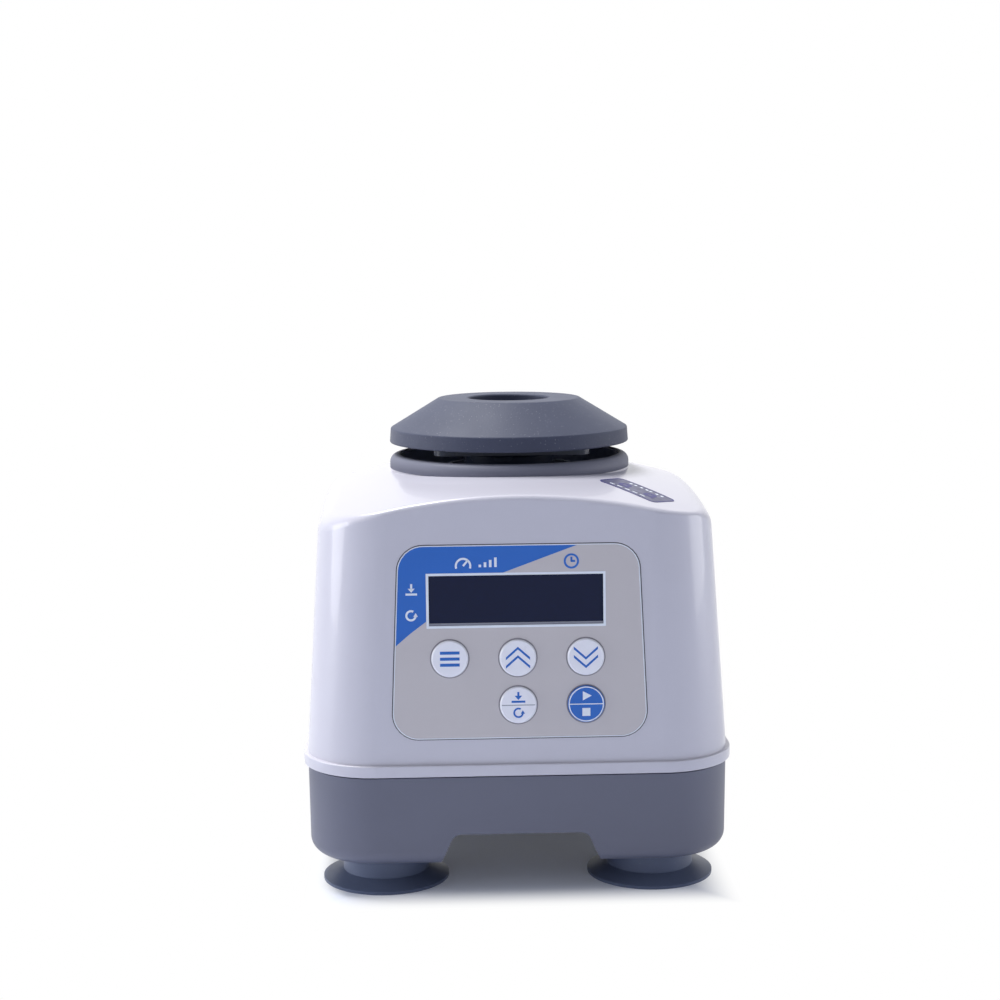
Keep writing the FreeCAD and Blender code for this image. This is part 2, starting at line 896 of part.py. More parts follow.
front_board = plate(
    "front_board_blank", rectangle(s.front_board_width / 2, s.front_board_height / 2), s.board_thickness
)
soften(front_board, 3, upright)
place(front_board, 0, 0, board_face - s.board_thickness)
board_holes = rod("front_board_hole", 1.4, 4, board_screw_x, -board_screw_y, board_face - 3)
connector = block("front_connector", 22, 6, 5, 0, 0, board_face - s.board_thickness - 5)
node(
    on_front(
        "front_board_placed",
        fuse(
            "front_board_built",
            cut("front_board_drilled", front_board, four("front_board_holes", board_holes)),
            connector,
        ),
    ),
    "front_board",
)

board_screw = turned(
    "board_screw",
    [
        (0, -s.board_thickness - 1.6),
        (2.3, -s.board_thickness - 1.6),
        (2.3, -s.board_thickness),
        (1.05, -s.board_thickness),
        (1.05, 4),
        (0, 4),
    ],
)
place(board_screw, board_screw_x, -board_screw_y, board_face)
node(on_front("board_screws_placed", four("board_screw_set", board_screw)), "front_board_screws")

key_rim_top = -s.wall - s.seat_gap
key_low = key_rim_top - s.key_rim_height
button_top = key_low - s.key_travel - 0.15
button_stem = button_top - board_face - s.button_body
buttons = []
for name, (side, up) in KEYS.items():
    body = block(name + "_switch_body", 6, 6, s.button_body, side, up, board_face)
    stem = rod(name + "_switch_stem", 1.7, button_stem + 0.2, side, up, board_face + s.button_body - 0.2)
    buttons.append(fuse(name + "_switch", body, stem))
node(on_front("key_switch_set", *buttons), "key_switches")

for name, (side, up) in KEYS.items():
    crown = s.panel_thickness - s.panel_sink + s.key_proud
    cap = turned(
        name + "_cap",
        [
            (0, key_low),
            (s.key_radius + s.key_rim, key_low),
            (s.key_radius + s.key_rim, key_rim_top),
            (s.key_radius, key_rim_top),
            (s.key_radius, crown - 0.5),
            (s.key_radius - 0.5, crown),
            (0, crown),
        ],
    )
    place(cap, side, up)
    node(on_front(name + "_on_front", cap), name)

# Rear panel: a flat plate behind the opening, with the power socket and the rocker switch.

rear_face = -s.wall - 0.02
rear_plate = plate(
    "rear_plate",
    rectangle(s.opening_width / 2 + lap, s.opening_height / 2 + lap),
    s.rear_panel_thickness,
)
soften(rear_plate, 3, upright)
place(rear_plate, 0, 0, rear_face - s.rear_panel_thickness)
rear_tools = [
    rod("jack_opening", s.jack_body_radius, 8, s.jack_side, 0, rear_face - 5),
    block("switch_opening", s.switch_width, s.switch_height, 8, s.switch_side, 0, rear_face - 5),
    four("rear_thread_holes", rod("rear_thread", 1.0, 6, rear_screw_x, -rear_screw_y, rear_face - 5)),
]
node(on_rear("rear_panel_placed", cut("rear_plate_cut", rear_plate, *rear_tools)), "rear_panel")

rear_screw = turned(
    "rear_screw",
    [(0, rear_face - 2.2), (0.95, rear_face - 2.2), (0.95, -1.2), (2.05, -0.1), (0, -0.1)],
)
place(rear_screw, rear_screw_x, -rear_screw_y)
node(on_rear("rear_screws_placed", four("rear_screw_set", rear_screw)), "rear_panel_screws")

jack_shell = turned(
    "jack_shell",
    [
        (0, rear_face - s.jack_depth),
        (s.jack_body_radius - 0.1, rear_face - s.jack_depth),
        (s.jack_body_radius - 0.1, rear_face),
        (s.jack_body_radius + 1.4, rear_face),
        (s.jack_body_radius + 1.4, rear_face + 1.4),
        (s.jack_hole, rear_face + 1.4),
        (s.jack_hole, rear_face - s.jack_depth + 2),
        (1.0, rear_face - s.jack_depth + 2),
        (1.0, rear_face - 1.5),
        (0, rear_face - 1.5),
    ],
)
place(jack_shell, s.jack_side, 0)
node(on_rear("jack_on_rear", jack_shell), "power_jack")

rocker_pivot = rear_face - 2.2
rocker_half = s.switch_width / 2 - 1.6
switch_frame = block(
    "switch_frame", s.switch_width + 3, s.switch_height + 3, s.frame_height, s.switch_side, 0, rear_face
)
switch_case = block(
    "switch_case", s.switch_width - 0.2, s.switch_height - 0.2, s.switch_depth, s.switch_side, 0,
    rear_face - s.switch_depth,
)
switch_room = block(
    "switch_room", rocker_half * 2 + 0.8, s.switch_height - 2.4, 12, s.switch_side, 0, rear_face - 9.5
)
switch_pivot = rod(
    "switch_pivot", 1.2, s.switch_height - 2, s.switch_side, s.switch_height / 2 - 1, rocker_pivot,
    Rotation(Vector(1, 0, 0), 90),
)
switch_terminals = pair(
    "switch_terminals", block("switch_terminal", 0.8, 4.8, 7, 5, 0, rear_face - s.switch_depth - 6.8)
)
place(switch_terminals, s.switch_side)
switch_body = fuse(
    "switch_body",
    cut("switch_shell", fuse("switch_blank", switch_frame, switch_case), switch_room),
    switch_pivot,
    switch_terminals,
)
node(on_rear("switch_on_rear", switch_body), "power_switch")

# The rocker tips about the pivot pin. Its top is a shallow valley, and at rest its right end is up.

rocker_tilt = 7.0
rocker_rise = s.rocker_proud + 1.2
rocker_profile = plate(
    "rocker_profile",
    [
        (-rocker_half + 1.3, -2.0),
        (rocker_half - 1.3, -2.0),
        (rocker_half - 0.5, rocker_rise),
        (0, rocker_rise - 0.9),
        (-rocker_half + 0.5, rocker_rise),
    ],
    s.switch_height - 3.0,
    "XZ_Plane",
)
place(
    rocker_profile,
    s.switch_side,
    s.switch_height / 2 - 1.5,
    rocker_pivot,
    Rotation(Vector(0, 1, 0), -rocker_tilt),
)
rocker_bore = rod(
    "rocker_bore",
    1.2 + 0.08,
    s.switch_height,
    s.switch_side,
    s.switch_height / 2,
    rocker_pivot,
    Rotation(Vector(1, 0, 0), 90),
)
node(on_rear("rocker_on_rear", cut("rocker_cut", rocker_profile, rocker_bore)), "power_rocker")

# Guide posts from the base floor, with pins that carry the sprung motor plate.

plate_top = s.plate_low + s.plate_thickness
pin_top = plate_top + s.pin_rise
post_low = floor_top + 2.0
post = turned(
    "post",
    [
        (0, post_low),
        (s.post_radius, post_low),
        (s.post_radius, s.post_shoulder),
        (s.pin_radius, s.post_shoulder),
        (s.pin_radius, pin_top),
        (0, pin_top),
    ],
)
place(post, post_x, -post_y)
post_bore = rod("post_bore", 1.9, 14, post_x, -post_y, post_low - 1)
pin_bore = rod("pin_bore", 1.9, 9, post_x, -post_y, pin_top - 8)
node(four("post_set", cut("post_drilled", post, post_bore, pin_bore)), "guide_posts")

post_screw = turned(
    "post_screw",
    [
        (0, floor_low - 2.6),
        (3.6, floor_low - 2.6),
        (3.6, floor_low),
        (1.85, floor_low),
        (1.85, post_low + 10),
        (0, post_low + 10),
    ],
)
place(post_screw, post_x, -post_y)
node(four("post_screw_set", post_screw), "guide_post_screws")

bush_top = plate_top + 1.2
stop_low = bush_top + 0.2
stop_top = stop_low + 1.6
stop_collar = turned(
    "stop_collar",
    [
        (s.pin_radius + 0.02, stop_low),
        (s.bush_flange, stop_low),
        (s.bush_flange, stop_top),
        (s.pin_radius + 1.2, stop_top),
        (s.pin_radius + 1.2, pin_top),
        (s.pin_radius + 0.02, pin_top),
    ],
)
place(stop_collar, post_x, -post_y)
node(four("stop_collar_set", stop_collar), "stop_collars")
stop_screw = turned(
    "stop_screw",
    [
        (0, pin_top - 7),
        (1.85, pin_top - 7),
        (1.85, pin_top),
        (5.0, pin_top),
        (5.0, pin_top + 3),
        (0, pin_top + 3),
    ],
)
place(stop_screw, post_x, -post_y)
node(four("stop_screw_set", stop_screw), "stop_screws")

# Motor carriage: the plate, its bushes, the return springs and the motor hung below it.

bush = turned(
    "bush",
    [
        (s.pin_radius + s.slide_gap, s.plate_low - 1.2),
        (s.bush_flange, s.plate_low - 1.2),
        (s.bush_flange, s.plate_low),
        (s.bush_radius, s.plate_low),
        (s.bush_radius, plate_top),
        (s.bush_flange, plate_top),
        (s.bush_flange, bush_top),
        (s.pin_radius + s.slide_gap, bush_top),
    ],
)
place(bush, post_x, -post_y)
node(four("bush_set", bush), "guide_bushes")

spring_low = s.post_shoulder + 0.1
spring_top = s.plate_low - 1.3
spring_height = spring_top - spring_low
sleeve = turned(
    "sleeve",
    [
        (s.pin_radius + 0.6, spring_low),
        (s.spring_radius - 0.8, spring_low),
        (s.spring_radius, spring_low + spring_height / 3),
        (s.spring_radius, spring_top - spring_height / 3),
        (s.spring_radius - 0.8, spring_top),
        (s.pin_radius + 0.6, spring_top),
    ],
)
place(sleeve, post_x, -post_y)
node(four("sleeve_set", sleeve), "return_springs")

motor_plate = plate("motor_plate_blank", rectangle(s.plate_half, s.plate_half), s.plate_thickness)
soften(motor_plate, 10, upright)
place(motor_plate, 0, 0, s.plate_low)
motor_boss_radius = s.bearing_radius + 2.0
motor_screw_at = s.motor_screw_circle * math.sqrt(0.5)
lightening = rounded(
    "lightening",
    block("lightening_block", 26, 9, 8, 0, -(s.plate_half - 10), s.plate_low - 1),
    4,
    upright,
)
motor_screw_hole = rod(
    "motor_screw_hole", 1.6, 8, motor_screw_at, -motor_screw_at, s.plate_low - 1
)
plate_tools = [
    four("bush_holes", rod("bush_hole", s.bush_radius, 8, post_x, -post_y, s.plate_low - 1)),
    rod("motor_boss_hole", motor_boss_radius + 0.1, 8, 0, 0, s.plate_low - 1),
    four("motor_screw_holes", motor_screw_hole),
    pair("lightening_slots", lightening, Vector(0, 1, 0)),
]
node(cut("motor_plate_cut", motor_plate, *plate_tools), "motor_plate")

motor_low = s.plate_low - s.motor_length
motor_can = turned(
    "motor_can_profile",
    [
        (s.shaft_radius + 1.0, plate_top - 0.6),
        (motor_boss_radius, plate_top - 0.6),
        (motor_boss_radius, s.plate_low),
        (s.motor_radius, s.plate_low),
        (s.motor_radius, motor_low + 5),
        (s.motor_radius - s.motor_wall, motor_low + 5),
        (s.motor_radius - s.motor_wall, s.plate_low - s.motor_front),
        (s.bearing_radius, s.plate_low - s.motor_front),
        (s.bearing_radius, s.plate_low - s.motor_front + s.bearing_width),
        (s.shaft_radius + 1.0, s.plate_low - s.motor_front + s.bearing_width),
    ],
)
motor_taps = four(
    "motor_taps", rod("motor_tap", 1.3, 5, motor_screw_at, -motor_screw_at, s.plate_low - 3.5)
)
node(cut("motor_can_tapped", motor_can, motor_taps), "motor_can")
motor_cap = turned(
    "motor_cap",
    [
        (s.shaft_radius + 1.0, motor_low),
        (s.motor_radius, motor_low),
        (s.motor_radius, motor_low + 5),
        (s.motor_radius - s.motor_wall, motor_low + 5),
        (s.motor_radius - s.motor_wall, motor_low + 7),
        (s.bearing_radius + 2, motor_low + 7),
        (s.bearing_radius + 2, motor_low + 9),
        (s.bearing_radius, motor_low + 9),
        (s.bearing_radius, motor_low + 9 - s.bearing_width),
        (s.shaft_radius + 1.0, motor_low + 9 - s.bearing_width),
    ],
)
node(motor_cap, "motor_end_cap")
bearing_inner = s.shaft_radius + s.shaft_gap
front_bearing = tube(
    "front_bearing", s.bearing_radius, bearing_inner, s.bearing_width, 0, 0, s.plate_low - s.motor_front
)
rear_bearing = tube(
    "rear_bearing", s.bearing_radius, bearing_inner, s.bearing_width, 0, 0, motor_low + 9 - s.bearing_width
)
node(group("motor_bearing_set", front_bearing, rear_bearing), "motor_bearings")
stator_low = motor_low + 12
stator_height = s.plate_low - s.motor_front - 5 - stator_low
stator = tube("stator_ring", s.motor_radius - s.motor_wall, s.stator_inner, stator_height, 0, 0, stator_low)
node(stator, "motor_stator")
motor_screw = turned(
    "motor_screw",
    [
        (0, s.plate_low - 3.2),
        (1.25, s.plate_low - 3.2),
        (1.25, plate_top),
        (2.8, plate_top),
        (2.8, plate_top + 1.8),
        (0, plate_top + 1.8),
    ],
)
place(motor_screw, motor_screw_at, -motor_screw_at)
node(four("motor_screw_set", motor_screw), "motor_screws")

flag_x = s.plate_half - 4.0
flag = fuse(
    "flag",
    block("flag_foot", 6, 14, 1.2, flag_x, 0, s.plate_low - 1.2),
    block("flag_blade", 0.8, 8, s.flag_height, flag_x, 0, s.plate_low - 1.2 - s.flag_height),
)
node(flag, "press_flag")
flag_low = s.plate_low - 1.2 - s.flag_height
sensor_low = flag_low - s.press_travel - 2.6
fork = cut(
    "fork",
    block("fork_block", 10, 11, 9, flag_x, 0, sensor_low),
    block("fork_slot", 3.2, 13, 9, flag_x, 0, sensor_low + 2.0),
)
bracket_x = flag_x + 6.2
bracket = fuse(
    "bracket",
    block("bracket_wall", 2, 16, sensor_low + 6 - post_low + 2.0, bracket_x, 0, floor_top),
    block("bracket_foot", 10, 16, 2, bracket_x - 4, 0, floor_top),
)
node(fork, "press_sensor")
node(bracket, "sensor_bracket")

# Rotor: shaft, magnet, eccentric hub with its crank pin, counterweight and inner races.

crank_y = s.orbit
hub_floor = plate_top + s.hub_lift
hub_top = hub_floor + s.hub_height
bearing_top = s.hub_low + 2 * s.race_height + s.race_spacer
shaft_low = motor_low + 1.0
node(rod("shaft", s.shaft_radius, hub_top - 2 - shaft_low, 0, 0, shaft_low), "motor_shaft")
magnet = tube(
    "magnet", s.stator_inner - 0.6, s.shaft_radius, stator_height, 0, 0, stator_low
)
node(magnet, "rotor_magnet")

hub = turned(
    "hub",
    [(0, hub_floor), (s.hub_radius, hub_floor), (s.hub_radius, hub_top), (0, hub_top)],
)
crank_shoulder = rod("crank_shoulder", s.inner_race - 0.6, s.hub_low - hub_top, 0, crank_y, hub_top)
crank_pin = rod("crank_pin", s.crank_radius, bearing_top - s.hub_low, 0, crank_y, s.hub_low)
shaft_socket = rod("shaft_socket", s.shaft_radius, hub_top - 2 - hub_floor + 1, 0, 0, hub_floor - 1)
grub_hole = rod(
    "grub_hole", 2.0, s.hub_radius, 0, 0, hub_floor + 4, Rotation(Vector(0, 1, 0), 90)
)
crank_tap = rod("crank_tap", 1.5, 9, 0, crank_y, bearing_top - 8)
node(
    cut("hub_cut", fuse("hub_solid", hub, crank_shoulder, crank_pin), shaft_socket, grub_hole, crank_tap),
    "eccentric_hub",
)
grub = rod(
    "grub", 1.9, s.hub_radius - s.shaft_radius - 0.6, s.shaft_radius + 0.1, 0, hub_floor + 4,
    Rotation(Vector(0, 1, 0), 90),
)
node(grub, "hub_set_screw")

weight_low = hub_top - s.weight_thickness - 1.0
weight_round = rod("weight_round", s.weight_radius, s.weight_thickness, 0, 0, weight_low)
weight_side = block(
    "weight_side", s.weight_radius * 2 + 2, s.weight_radius + 1, s.weight_thickness + 2, 0,
    (s.weight_radius + 1) / 2 + 1.5, weight_low - 1,
)
weight_bore = rod("weight_bore", s.hub_radius, s.weight_thickness + 2, 0, 0, weight_low - 1)
weight_hole_y = -(s.hub_radius + s.weight_radius) / 2
weight_hole = rod("weight_hole", 2.0, s.weight_thickness + 2, 9, weight_hole_y, weight_low - 1)
weight = cut("weight", weight_round, weight_side, weight_bore, pair("weight_holes", weight_hole))
node(weight, "counterweight")

upper_race_low = s.hub_low + s.race_height + s.race_spacer
inner_races = []
outer_races = []
for level, low in (("lower", s.hub_low), ("upper", upper_race_low)):
    inner_races.append(
        tube(level + "_inner_race", s.inner_race, s.crank_radius, s.race_height, 0, crank_y, low)
    )
    outer_races.append(
        tube(
            level + "_outer_race", s.outer_race, s.inner_race + s.race_gap, s.race_height, 0, crank_y, low
        )
    )
inner_spacer = tube(
    "inner_spacer", s.inner_race - 0.6, s.crank_radius, s.race_spacer, 0, crank_y, s.hub_low + s.race_height
)
outer_spacer = tube(
    "outer_spacer", s.outer_race, s.outer_race - 2, s.race_spacer, 0, crank_y, s.hub_low + s.race_height
)
node(group("inner_race_set", *inner_races, inner_spacer), "crank_inner_races")
crank_screw = turned(
    "crank_screw",
    [
        (0, bearing_top - 7),
        (1.45, bearing_top - 7),
        (1.45, bearing_top),
        (s.inner_race - 0.6, bearing_top),
        (s.inner_race - 0.6, bearing_top + 1.4),
        (0, bearing_top + 1.4),
    ],
)
place(crank_screw, 0, crank_y)
node(crank_screw, "crank_screw")

# Carrier: the hub and square plate that ride on the crank pin, the orbit plate and the outer races.

carrier = turned(
    "carrier",
    [
        (s.outer_race, s.hub_low),
        (s.carrier_hub, s.hub_low),
        (s.carrier_hub, s.disc_low - 2),
        (s.carrier_hub + 2, s.disc_low),
        (s.carrier_hub + 2, s.disc_top),
        (s.spigot_radius, s.disc_top),
        (s.spigot_radius, s.disc_top + s.spigot_height),
        (0, s.disc_top + s.spigot_height),
        (0, s.disc_top - s.cover),
        (s.outer_race - 2, s.disc_top - s.cover),
        (s.outer_race - 2, bearing_top),
        (s.outer_race, bearing_top),
    ],
)
place(carrier, 0, crank_y)
carrier_square = plate(
    "carrier_square", rectangle(s.carrier_half, s.carrier_half), s.disc_top - s.disc_low
)
soften(carrier_square, s.carrier_corner, upright)
place(carrier_square, 0, crank_y, s.disc_low)
plate_screw_at = (s.outer_race + s.carrier_hub) / 2 * math.sqrt(0.5)
carrier_taps = [
    rod(
        "carrier_tap_%d" % number, 0.9, 6,
        plate_screw_at * right, crank_y + plate_screw_at * back, s.hub_low - 1,
    )
    for number, (right, back) in enumerate(((1, 1), (1, -1), (-1, 1), (-1, -1)))
]
carrier_solid = fuse("carrier_solid", carrier, carrier_square)
node(cut("carrier_tapped", carrier_solid, *carrier_taps), "head_carrier")
node(group("outer_race_set", *outer_races, outer_spacer), "crank_outer_races")

orbit_low = s.hub_low - s.orbit_plate_thickness
orbit_plate = turned(
    "orbit_plate_blank",
    [
        (s.outer_race - 3.5, orbit_low),
        (s.orbit_plate_radius, orbit_low),
        (s.orbit_plate_radius, s.hub_low),
        (s.outer_race - 3.5, s.hub_low),
    ],
)
place(orbit_plate, 0, crank_y)
orbit_holes = []
orbit_screws = []
for number, (right, back) in enumerate(((1, 1), (1, -1), (-1, 1), (-1, -1))):
    x = plate_screw_at * right
    y = crank_y + plate_screw_at * back
    orbit_holes.append(rod("orbit_hole_%d" % number, 1.1, 6, x, y, orbit_low - 1))
    head = rod("orbit_head_%d" % number, 1.8, 1.2, x, y, orbit_low - 1.2)
    stem = rod("orbit_stem_%d" % number, 0.88, 7, x, y, orbit_low - 0.2)
    orbit_screws.append(fuse("orbit_screw_%d" % number, head, stem))
node(cut("orbit_plate_drilled", orbit_plate, *orbit_holes), "orbit_plate")
node(group("orbit_screw_set", *orbit_screws), "orbit_plate_screws")

flex_at = s.flex_post_circle * math.sqrt(0.5)
waist = s.flex_post_radius - 1.2
flex_post = turned(
    "flex_post",
    [
        (0, plate_top),
        (s.flex_post_radius, plate_top),
        (s.flex_post_radius, plate_top + 4),
        (waist, plate_top + 7),
        (waist, orbit_low - 7),
        (s.flex_post_radius, orbit_low - 4),
        (s.flex_post_radius, orbit_low),
        (0, orbit_low),
    ],
)
place(flex_post, flex_at, -flex_at)
node(four("flex_post_set", flex_post), "flex_posts")

# Rubber head: a crisp flange, a straight skirt up to a flat top and a cup for the tube.

flange_foot = s.flange_radius + s.flange_flare
head = turned(
    "head",
    [
        (0, s.disc_top + s.spigot_height),
        (s.spigot_radius, s.disc_top + s.spigot_height),
        (s.spigot_radius, s.disc_top),
        (s.head_seat, s.disc_top),
        (s.head_seat, s.flange_low),
        (flange_foot, s.flange_low),
        (s.flange_radius, s.flange_top),
        (s.head_top_radius, s.head_top),
        (s.cup_radius, s.head_top),
        (s.cup_radius, s.head_top - s.cup_straight),
        (s.cup_bottom_radius, s.cup_bottom),
        (0, s.cup_bottom),
    ],
)
soften(head, 1.6, circle_at(s.head_top_radius, s.head_top))
soften(head, 0.6, circle_at(s.flange_radius, s.flange_top))
soften(head, 0.5, circle_at(flange_foot, s.flange_low))
soften(head, 0.8, circle_at(s.cup_radius, s.head_top))
place(head, 0, crank_y)
node(head, "rubber_head")

# Inner fittings on the base floor: ballast, main board with its parts, and the wiring.

ballast_y = -s.ballast_front
ballast_screw_x = s.ballast_half_x - 6.0
ballast = plate("ballast_blank", rectangle(s.ballast_half_x, s.ballast_half_y), s.ballast_thickness)
soften(ballast, 5, upright)
place(ballast, 0, ballast_y, floor_top)
ballast_hole = rod(
    "ballast_hole", 2.1, s.ballast_thickness + 6, ballast_screw_x, ballast_y, floor_top - 2
)
node(cut("ballast_cut", ballast, pair("ballast_holes", ballast_hole)), "ballast_plate")
ballast_screw = turned(
    "ballast_screw",
    [
        (0, floor_top + 0.02),
        (2.0, floor_top + 0.02),
        (2.0, floor_top + s.ballast_thickness),
        (4.0, floor_top + s.ballast_thickness),
        (4.0, floor_top + s.ballast_thickness + 2.4),
        (0, floor_top + s.ballast_thickness + 2.4),
    ],
)
place(ballast_screw, ballast_screw_x, ballast_y)
node(pair("ballast_screw_set", ballast_screw), "ballast_screws")

board_low = floor_top + s.board_lift
main_board_y = s.base_half - s.base_wall - s.main_board_half_y - s.main_board_margin
main_board = plate(
    "main_board_blank", rectangle(s.main_board_half_x, s.main_board_half_y), s.board_thickness
)
place(main_board, 0, main_board_y, board_low)
standoff_x = s.main_board_half_x - 3.5
standoff_y = s.main_board_half_y - 3.5
standoffs = []
main_holes = []
main_screws = []
for number, (right, back) in enumerate(((1, 1), (1, -1), (-1, 1), (-1, -1))):
    x = standoff_x * right
    y = main_board_y + standoff_y * back
    standoffs.append(
        cut(
            "standoff_%d" % number,
            rod("standoff_post_%d" % number, 2.8, board_low - floor_top, x, y, floor_top),
            rod("standoff_bore_%d" % number, 1.2, board_low - floor_top, x, y, floor_top + 1.5),
        )
    )
    main_holes.append(rod("main_hole_%d" % number, 1.4, 4, x, y, board_low - 1))
    head_low = board_low + s.board_thickness
    stem = rod("main_stem_%d" % number, 1.15, head_low - board_low + 4, x, y, board_low - 4)
    head_top = rod("main_head_%d" % number, 2.3, 1.5, x, y, head_low)
    main_screws.append(fuse("main_screw_%d" % number, stem, head_top))
node(cut("main_board_drilled", main_board, *main_holes), "main_board")
node(group("standoff_set", *standoffs), "board_standoffs")
node(group("main_screw_set", *main_screws), "main_board_screws")
part_low = board_low + s.board_thickness
capacitors = [
    rod("capacitor_%d" % number, s.capacitor_radius, s.capacitor_height, x, main_board_y + 8, part_low)
    for number, x in enumerate((-12, -2))
]
chip = block("driver_chip", 10, 10, 1.6, 8.5, main_board_y + 4, part_low)
header_y = main_board_y - s.header_front
header_top = part_low + s.header_height
header = block("board_header", s.header_width, 5, s.header_height, -2, header_y, part_low)
node(group("board_part_set", *capacitors, chip, header), "board_parts")
sink_base = block(
    "sink_base", s.sink_width, s.sink_length, 1.5, s.sink_side, main_board_y, part_low
)
fin_width = s.sink_width / 7.5
fin_step = (s.sink_width - fin_width) / 3
fins = [
    block(
        "sink_fin_%d" % number, fin_width, s.sink_length, s.sink_height,
        s.sink_side + fin_step * (number - 1.5), main_board_y, part_low + 1.3,
    )
    for number in range(4)
]
node(fuse("sink", sink_base, *fins), "heat_sink")


def lead(name, points, radius):
    """A wire run of straight stretches joined by spheres."""
    pieces = []
    for number, (start, end) in enumerate(zip(points, points[1:])):
        run = Vector(*end) - Vector(*start)
        turn = Rotation(Vector(0, 0, 1), run)
        pieces.append(rod("%s_run_%d" % (name, number), radius, run.Length, *start, turn))
        if number:
            ball = doc.addObject("Part::Sphere", "%s_bend_%d" % (name, number))
            ball.Radius = radius
            place(ball, *start)
            pieces.append(ball)
    return fuse(name, *pieces) if len(pieces) > 1 else pieces[0]


motor_lead = lead(
    "motor_lead_run",
    [
        (6, float(s.motor_radius) + 2.2, float(header_top) + 2),
        (6, float(s.motor_radius) + 2.2, float(motor_low) + 12),
    ],
    1.6,
)
lead_boot = block(
    "lead_boot", 8, 4.0, 6, 6, s.motor_radius + 2.3, motor_low + 12
)
lead_low = block("lead_plug", 8, 5, 6, 6, header_y, header_top)
lead_bridge = block("lead_bridge", 3.2, 14, 3.2, 6, header_y - 6, header_top + 1.4)
node(fuse("motor_lead_built", motor_lead, lead_boot, lead_low, lead_bridge), "motor_lead")

rear_plane = float(rear_y) + float(rear_face - s.jack_depth) * float(upright_share) - 0.6
power_lead = fuse(
    "power_lead_built",
    lead(
        "jack_lead",
        [
            (-float(s.jack_side), rear_plane, float(s.rear_up) - 0.8),
            (-float(s.jack_side), rear_plane - 4.5, float(s.rear_up)),
            (-8, rear_plane - 4.5, float(s.rear_up)),
            (-8, rear_plane - 4.5, float(header_top) + 6),
            (-8, float(header_y), float(header_top) + 1.5),
        ],
        1.4,
    ),
    block("power_plug", 7, 5, 6, -8, header_y, header_top),
)
node(power_lead, "power_lead")

# Check everything, then write each sub-part to its own file.

doc.recompute()
problems = []
for thing in doc.Objects:
    if "Invalid" in thing.State or "Error" in thing.State:
        problems.append("%s is %s" % (thing.Name, thing.State))
for thing in finished:
    shape = thing.Shape
    if shape.isNull() or not shape.isValid() or not shape.Solids:
        problems.append("%s has no sound shape" % thing.Label)
if problems:
    raise RuntimeError("; ".join(problems))
os.makedirs("parts", exist_ok=True)
for thing in finished:
    thing.Shape.exportStep("parts/%s.step" % thing.Label)
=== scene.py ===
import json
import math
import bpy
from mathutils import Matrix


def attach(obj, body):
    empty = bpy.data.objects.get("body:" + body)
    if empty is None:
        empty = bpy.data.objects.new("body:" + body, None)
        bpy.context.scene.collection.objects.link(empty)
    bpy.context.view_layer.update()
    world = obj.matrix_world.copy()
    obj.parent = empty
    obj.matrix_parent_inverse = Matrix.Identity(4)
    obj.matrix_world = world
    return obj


bl_info = {
    "name": "Bench Vortex Mixer",
    "version": (1, 0, 0),
    "blender": (4, 5, 0),
    "location": "View3D > Sidebar > Mixer",
    "description": "Dresses a bench vortex mixer with its finishes, panel print and key marks",
    "category": "Object",
}

import bmesh
import bpy
from bpy.props import FloatProperty, FloatVectorProperty, PointerProperty
from mathutils import Matrix, Vector

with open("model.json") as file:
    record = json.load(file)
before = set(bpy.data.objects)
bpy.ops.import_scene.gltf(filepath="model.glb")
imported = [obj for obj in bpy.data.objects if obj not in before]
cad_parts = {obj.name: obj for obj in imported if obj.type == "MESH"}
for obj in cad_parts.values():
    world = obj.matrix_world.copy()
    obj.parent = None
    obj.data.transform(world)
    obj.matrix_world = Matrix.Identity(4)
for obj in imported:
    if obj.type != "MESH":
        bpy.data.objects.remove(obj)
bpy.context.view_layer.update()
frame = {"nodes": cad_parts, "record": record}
NODES = frame["nodes"]
MM = 0.001

# The front panel leans back with the casing wall. Its own frame has x to the right, y up the wall
# and z out of the wall, with its origin at the middle of the panel.
LEAN = math.radians(3.55)
PANEL_MIDDLE = (0.0, -72.732, 90.7)
PANEL_FACE = 0.2
KEY_FACE = 1.1
LENS_FACE = -0.15
MARK_LIFT = 0.045
PANEL_HEIGHT = 67.6
PANEL_TOP_HALF = 41.7
PANEL_LOW_HALF = 44.6
PRINT_TOP = 33.62
PRINT_CORNER = 8.7

# The casing's top has one radius along and another across. The label lies on its right front part.
TOP_HEIGHT = 147.5
TOP_ALONG = 387.0
TOP_ACROSS = 229.0
LABEL_MIDDLE = (43.4, -49.2)
LABEL_TURN = -0.813
LABEL_HALF = (13.1, 6.4)
LABEL_CORNER = 2.4
LABEL_STEP = 1.6
LABEL_GAP = 0.01

# The rings at the collar, as radius and height. The collar's rounded top has a middle and a bend.
COLLAR_ROUND = (42.28, 145.98, 2.72)
# The ring over the collar's face and top is painted shade, where the head's shade falls.
SHADE_RING_NEAR = 0.03
SHADE_RING_FAR = 0.28
SHADE_RING_INSIDE = 41.62
SHADE_RING_FOOT = ((45.28, 144.0), (45.03, 143.9))
# The well's lining is a sheet of painted shade in the gap under the head.
WELL_SHADE_SECTION = (
    (21.95, 144.44), (23.88, 144.44), (23.88, 141.25), (41.2, 141.25), (41.2, 148.2),
    (41.55, 148.2), (41.55, 141.21), (23.82, 141.21), (23.82, 144.41), (21.95, 144.41),
)
KEY_HOLE = 6.5
KEYS = {
    "key_menu": (-24.2, -5.6),
    "key_up": (-0.6, -5.6),
    "key_down": (23.0, -5.6),
    "key_touch": (-0.6, -22.1),
    "key_start": (23.0, -22.1),
}

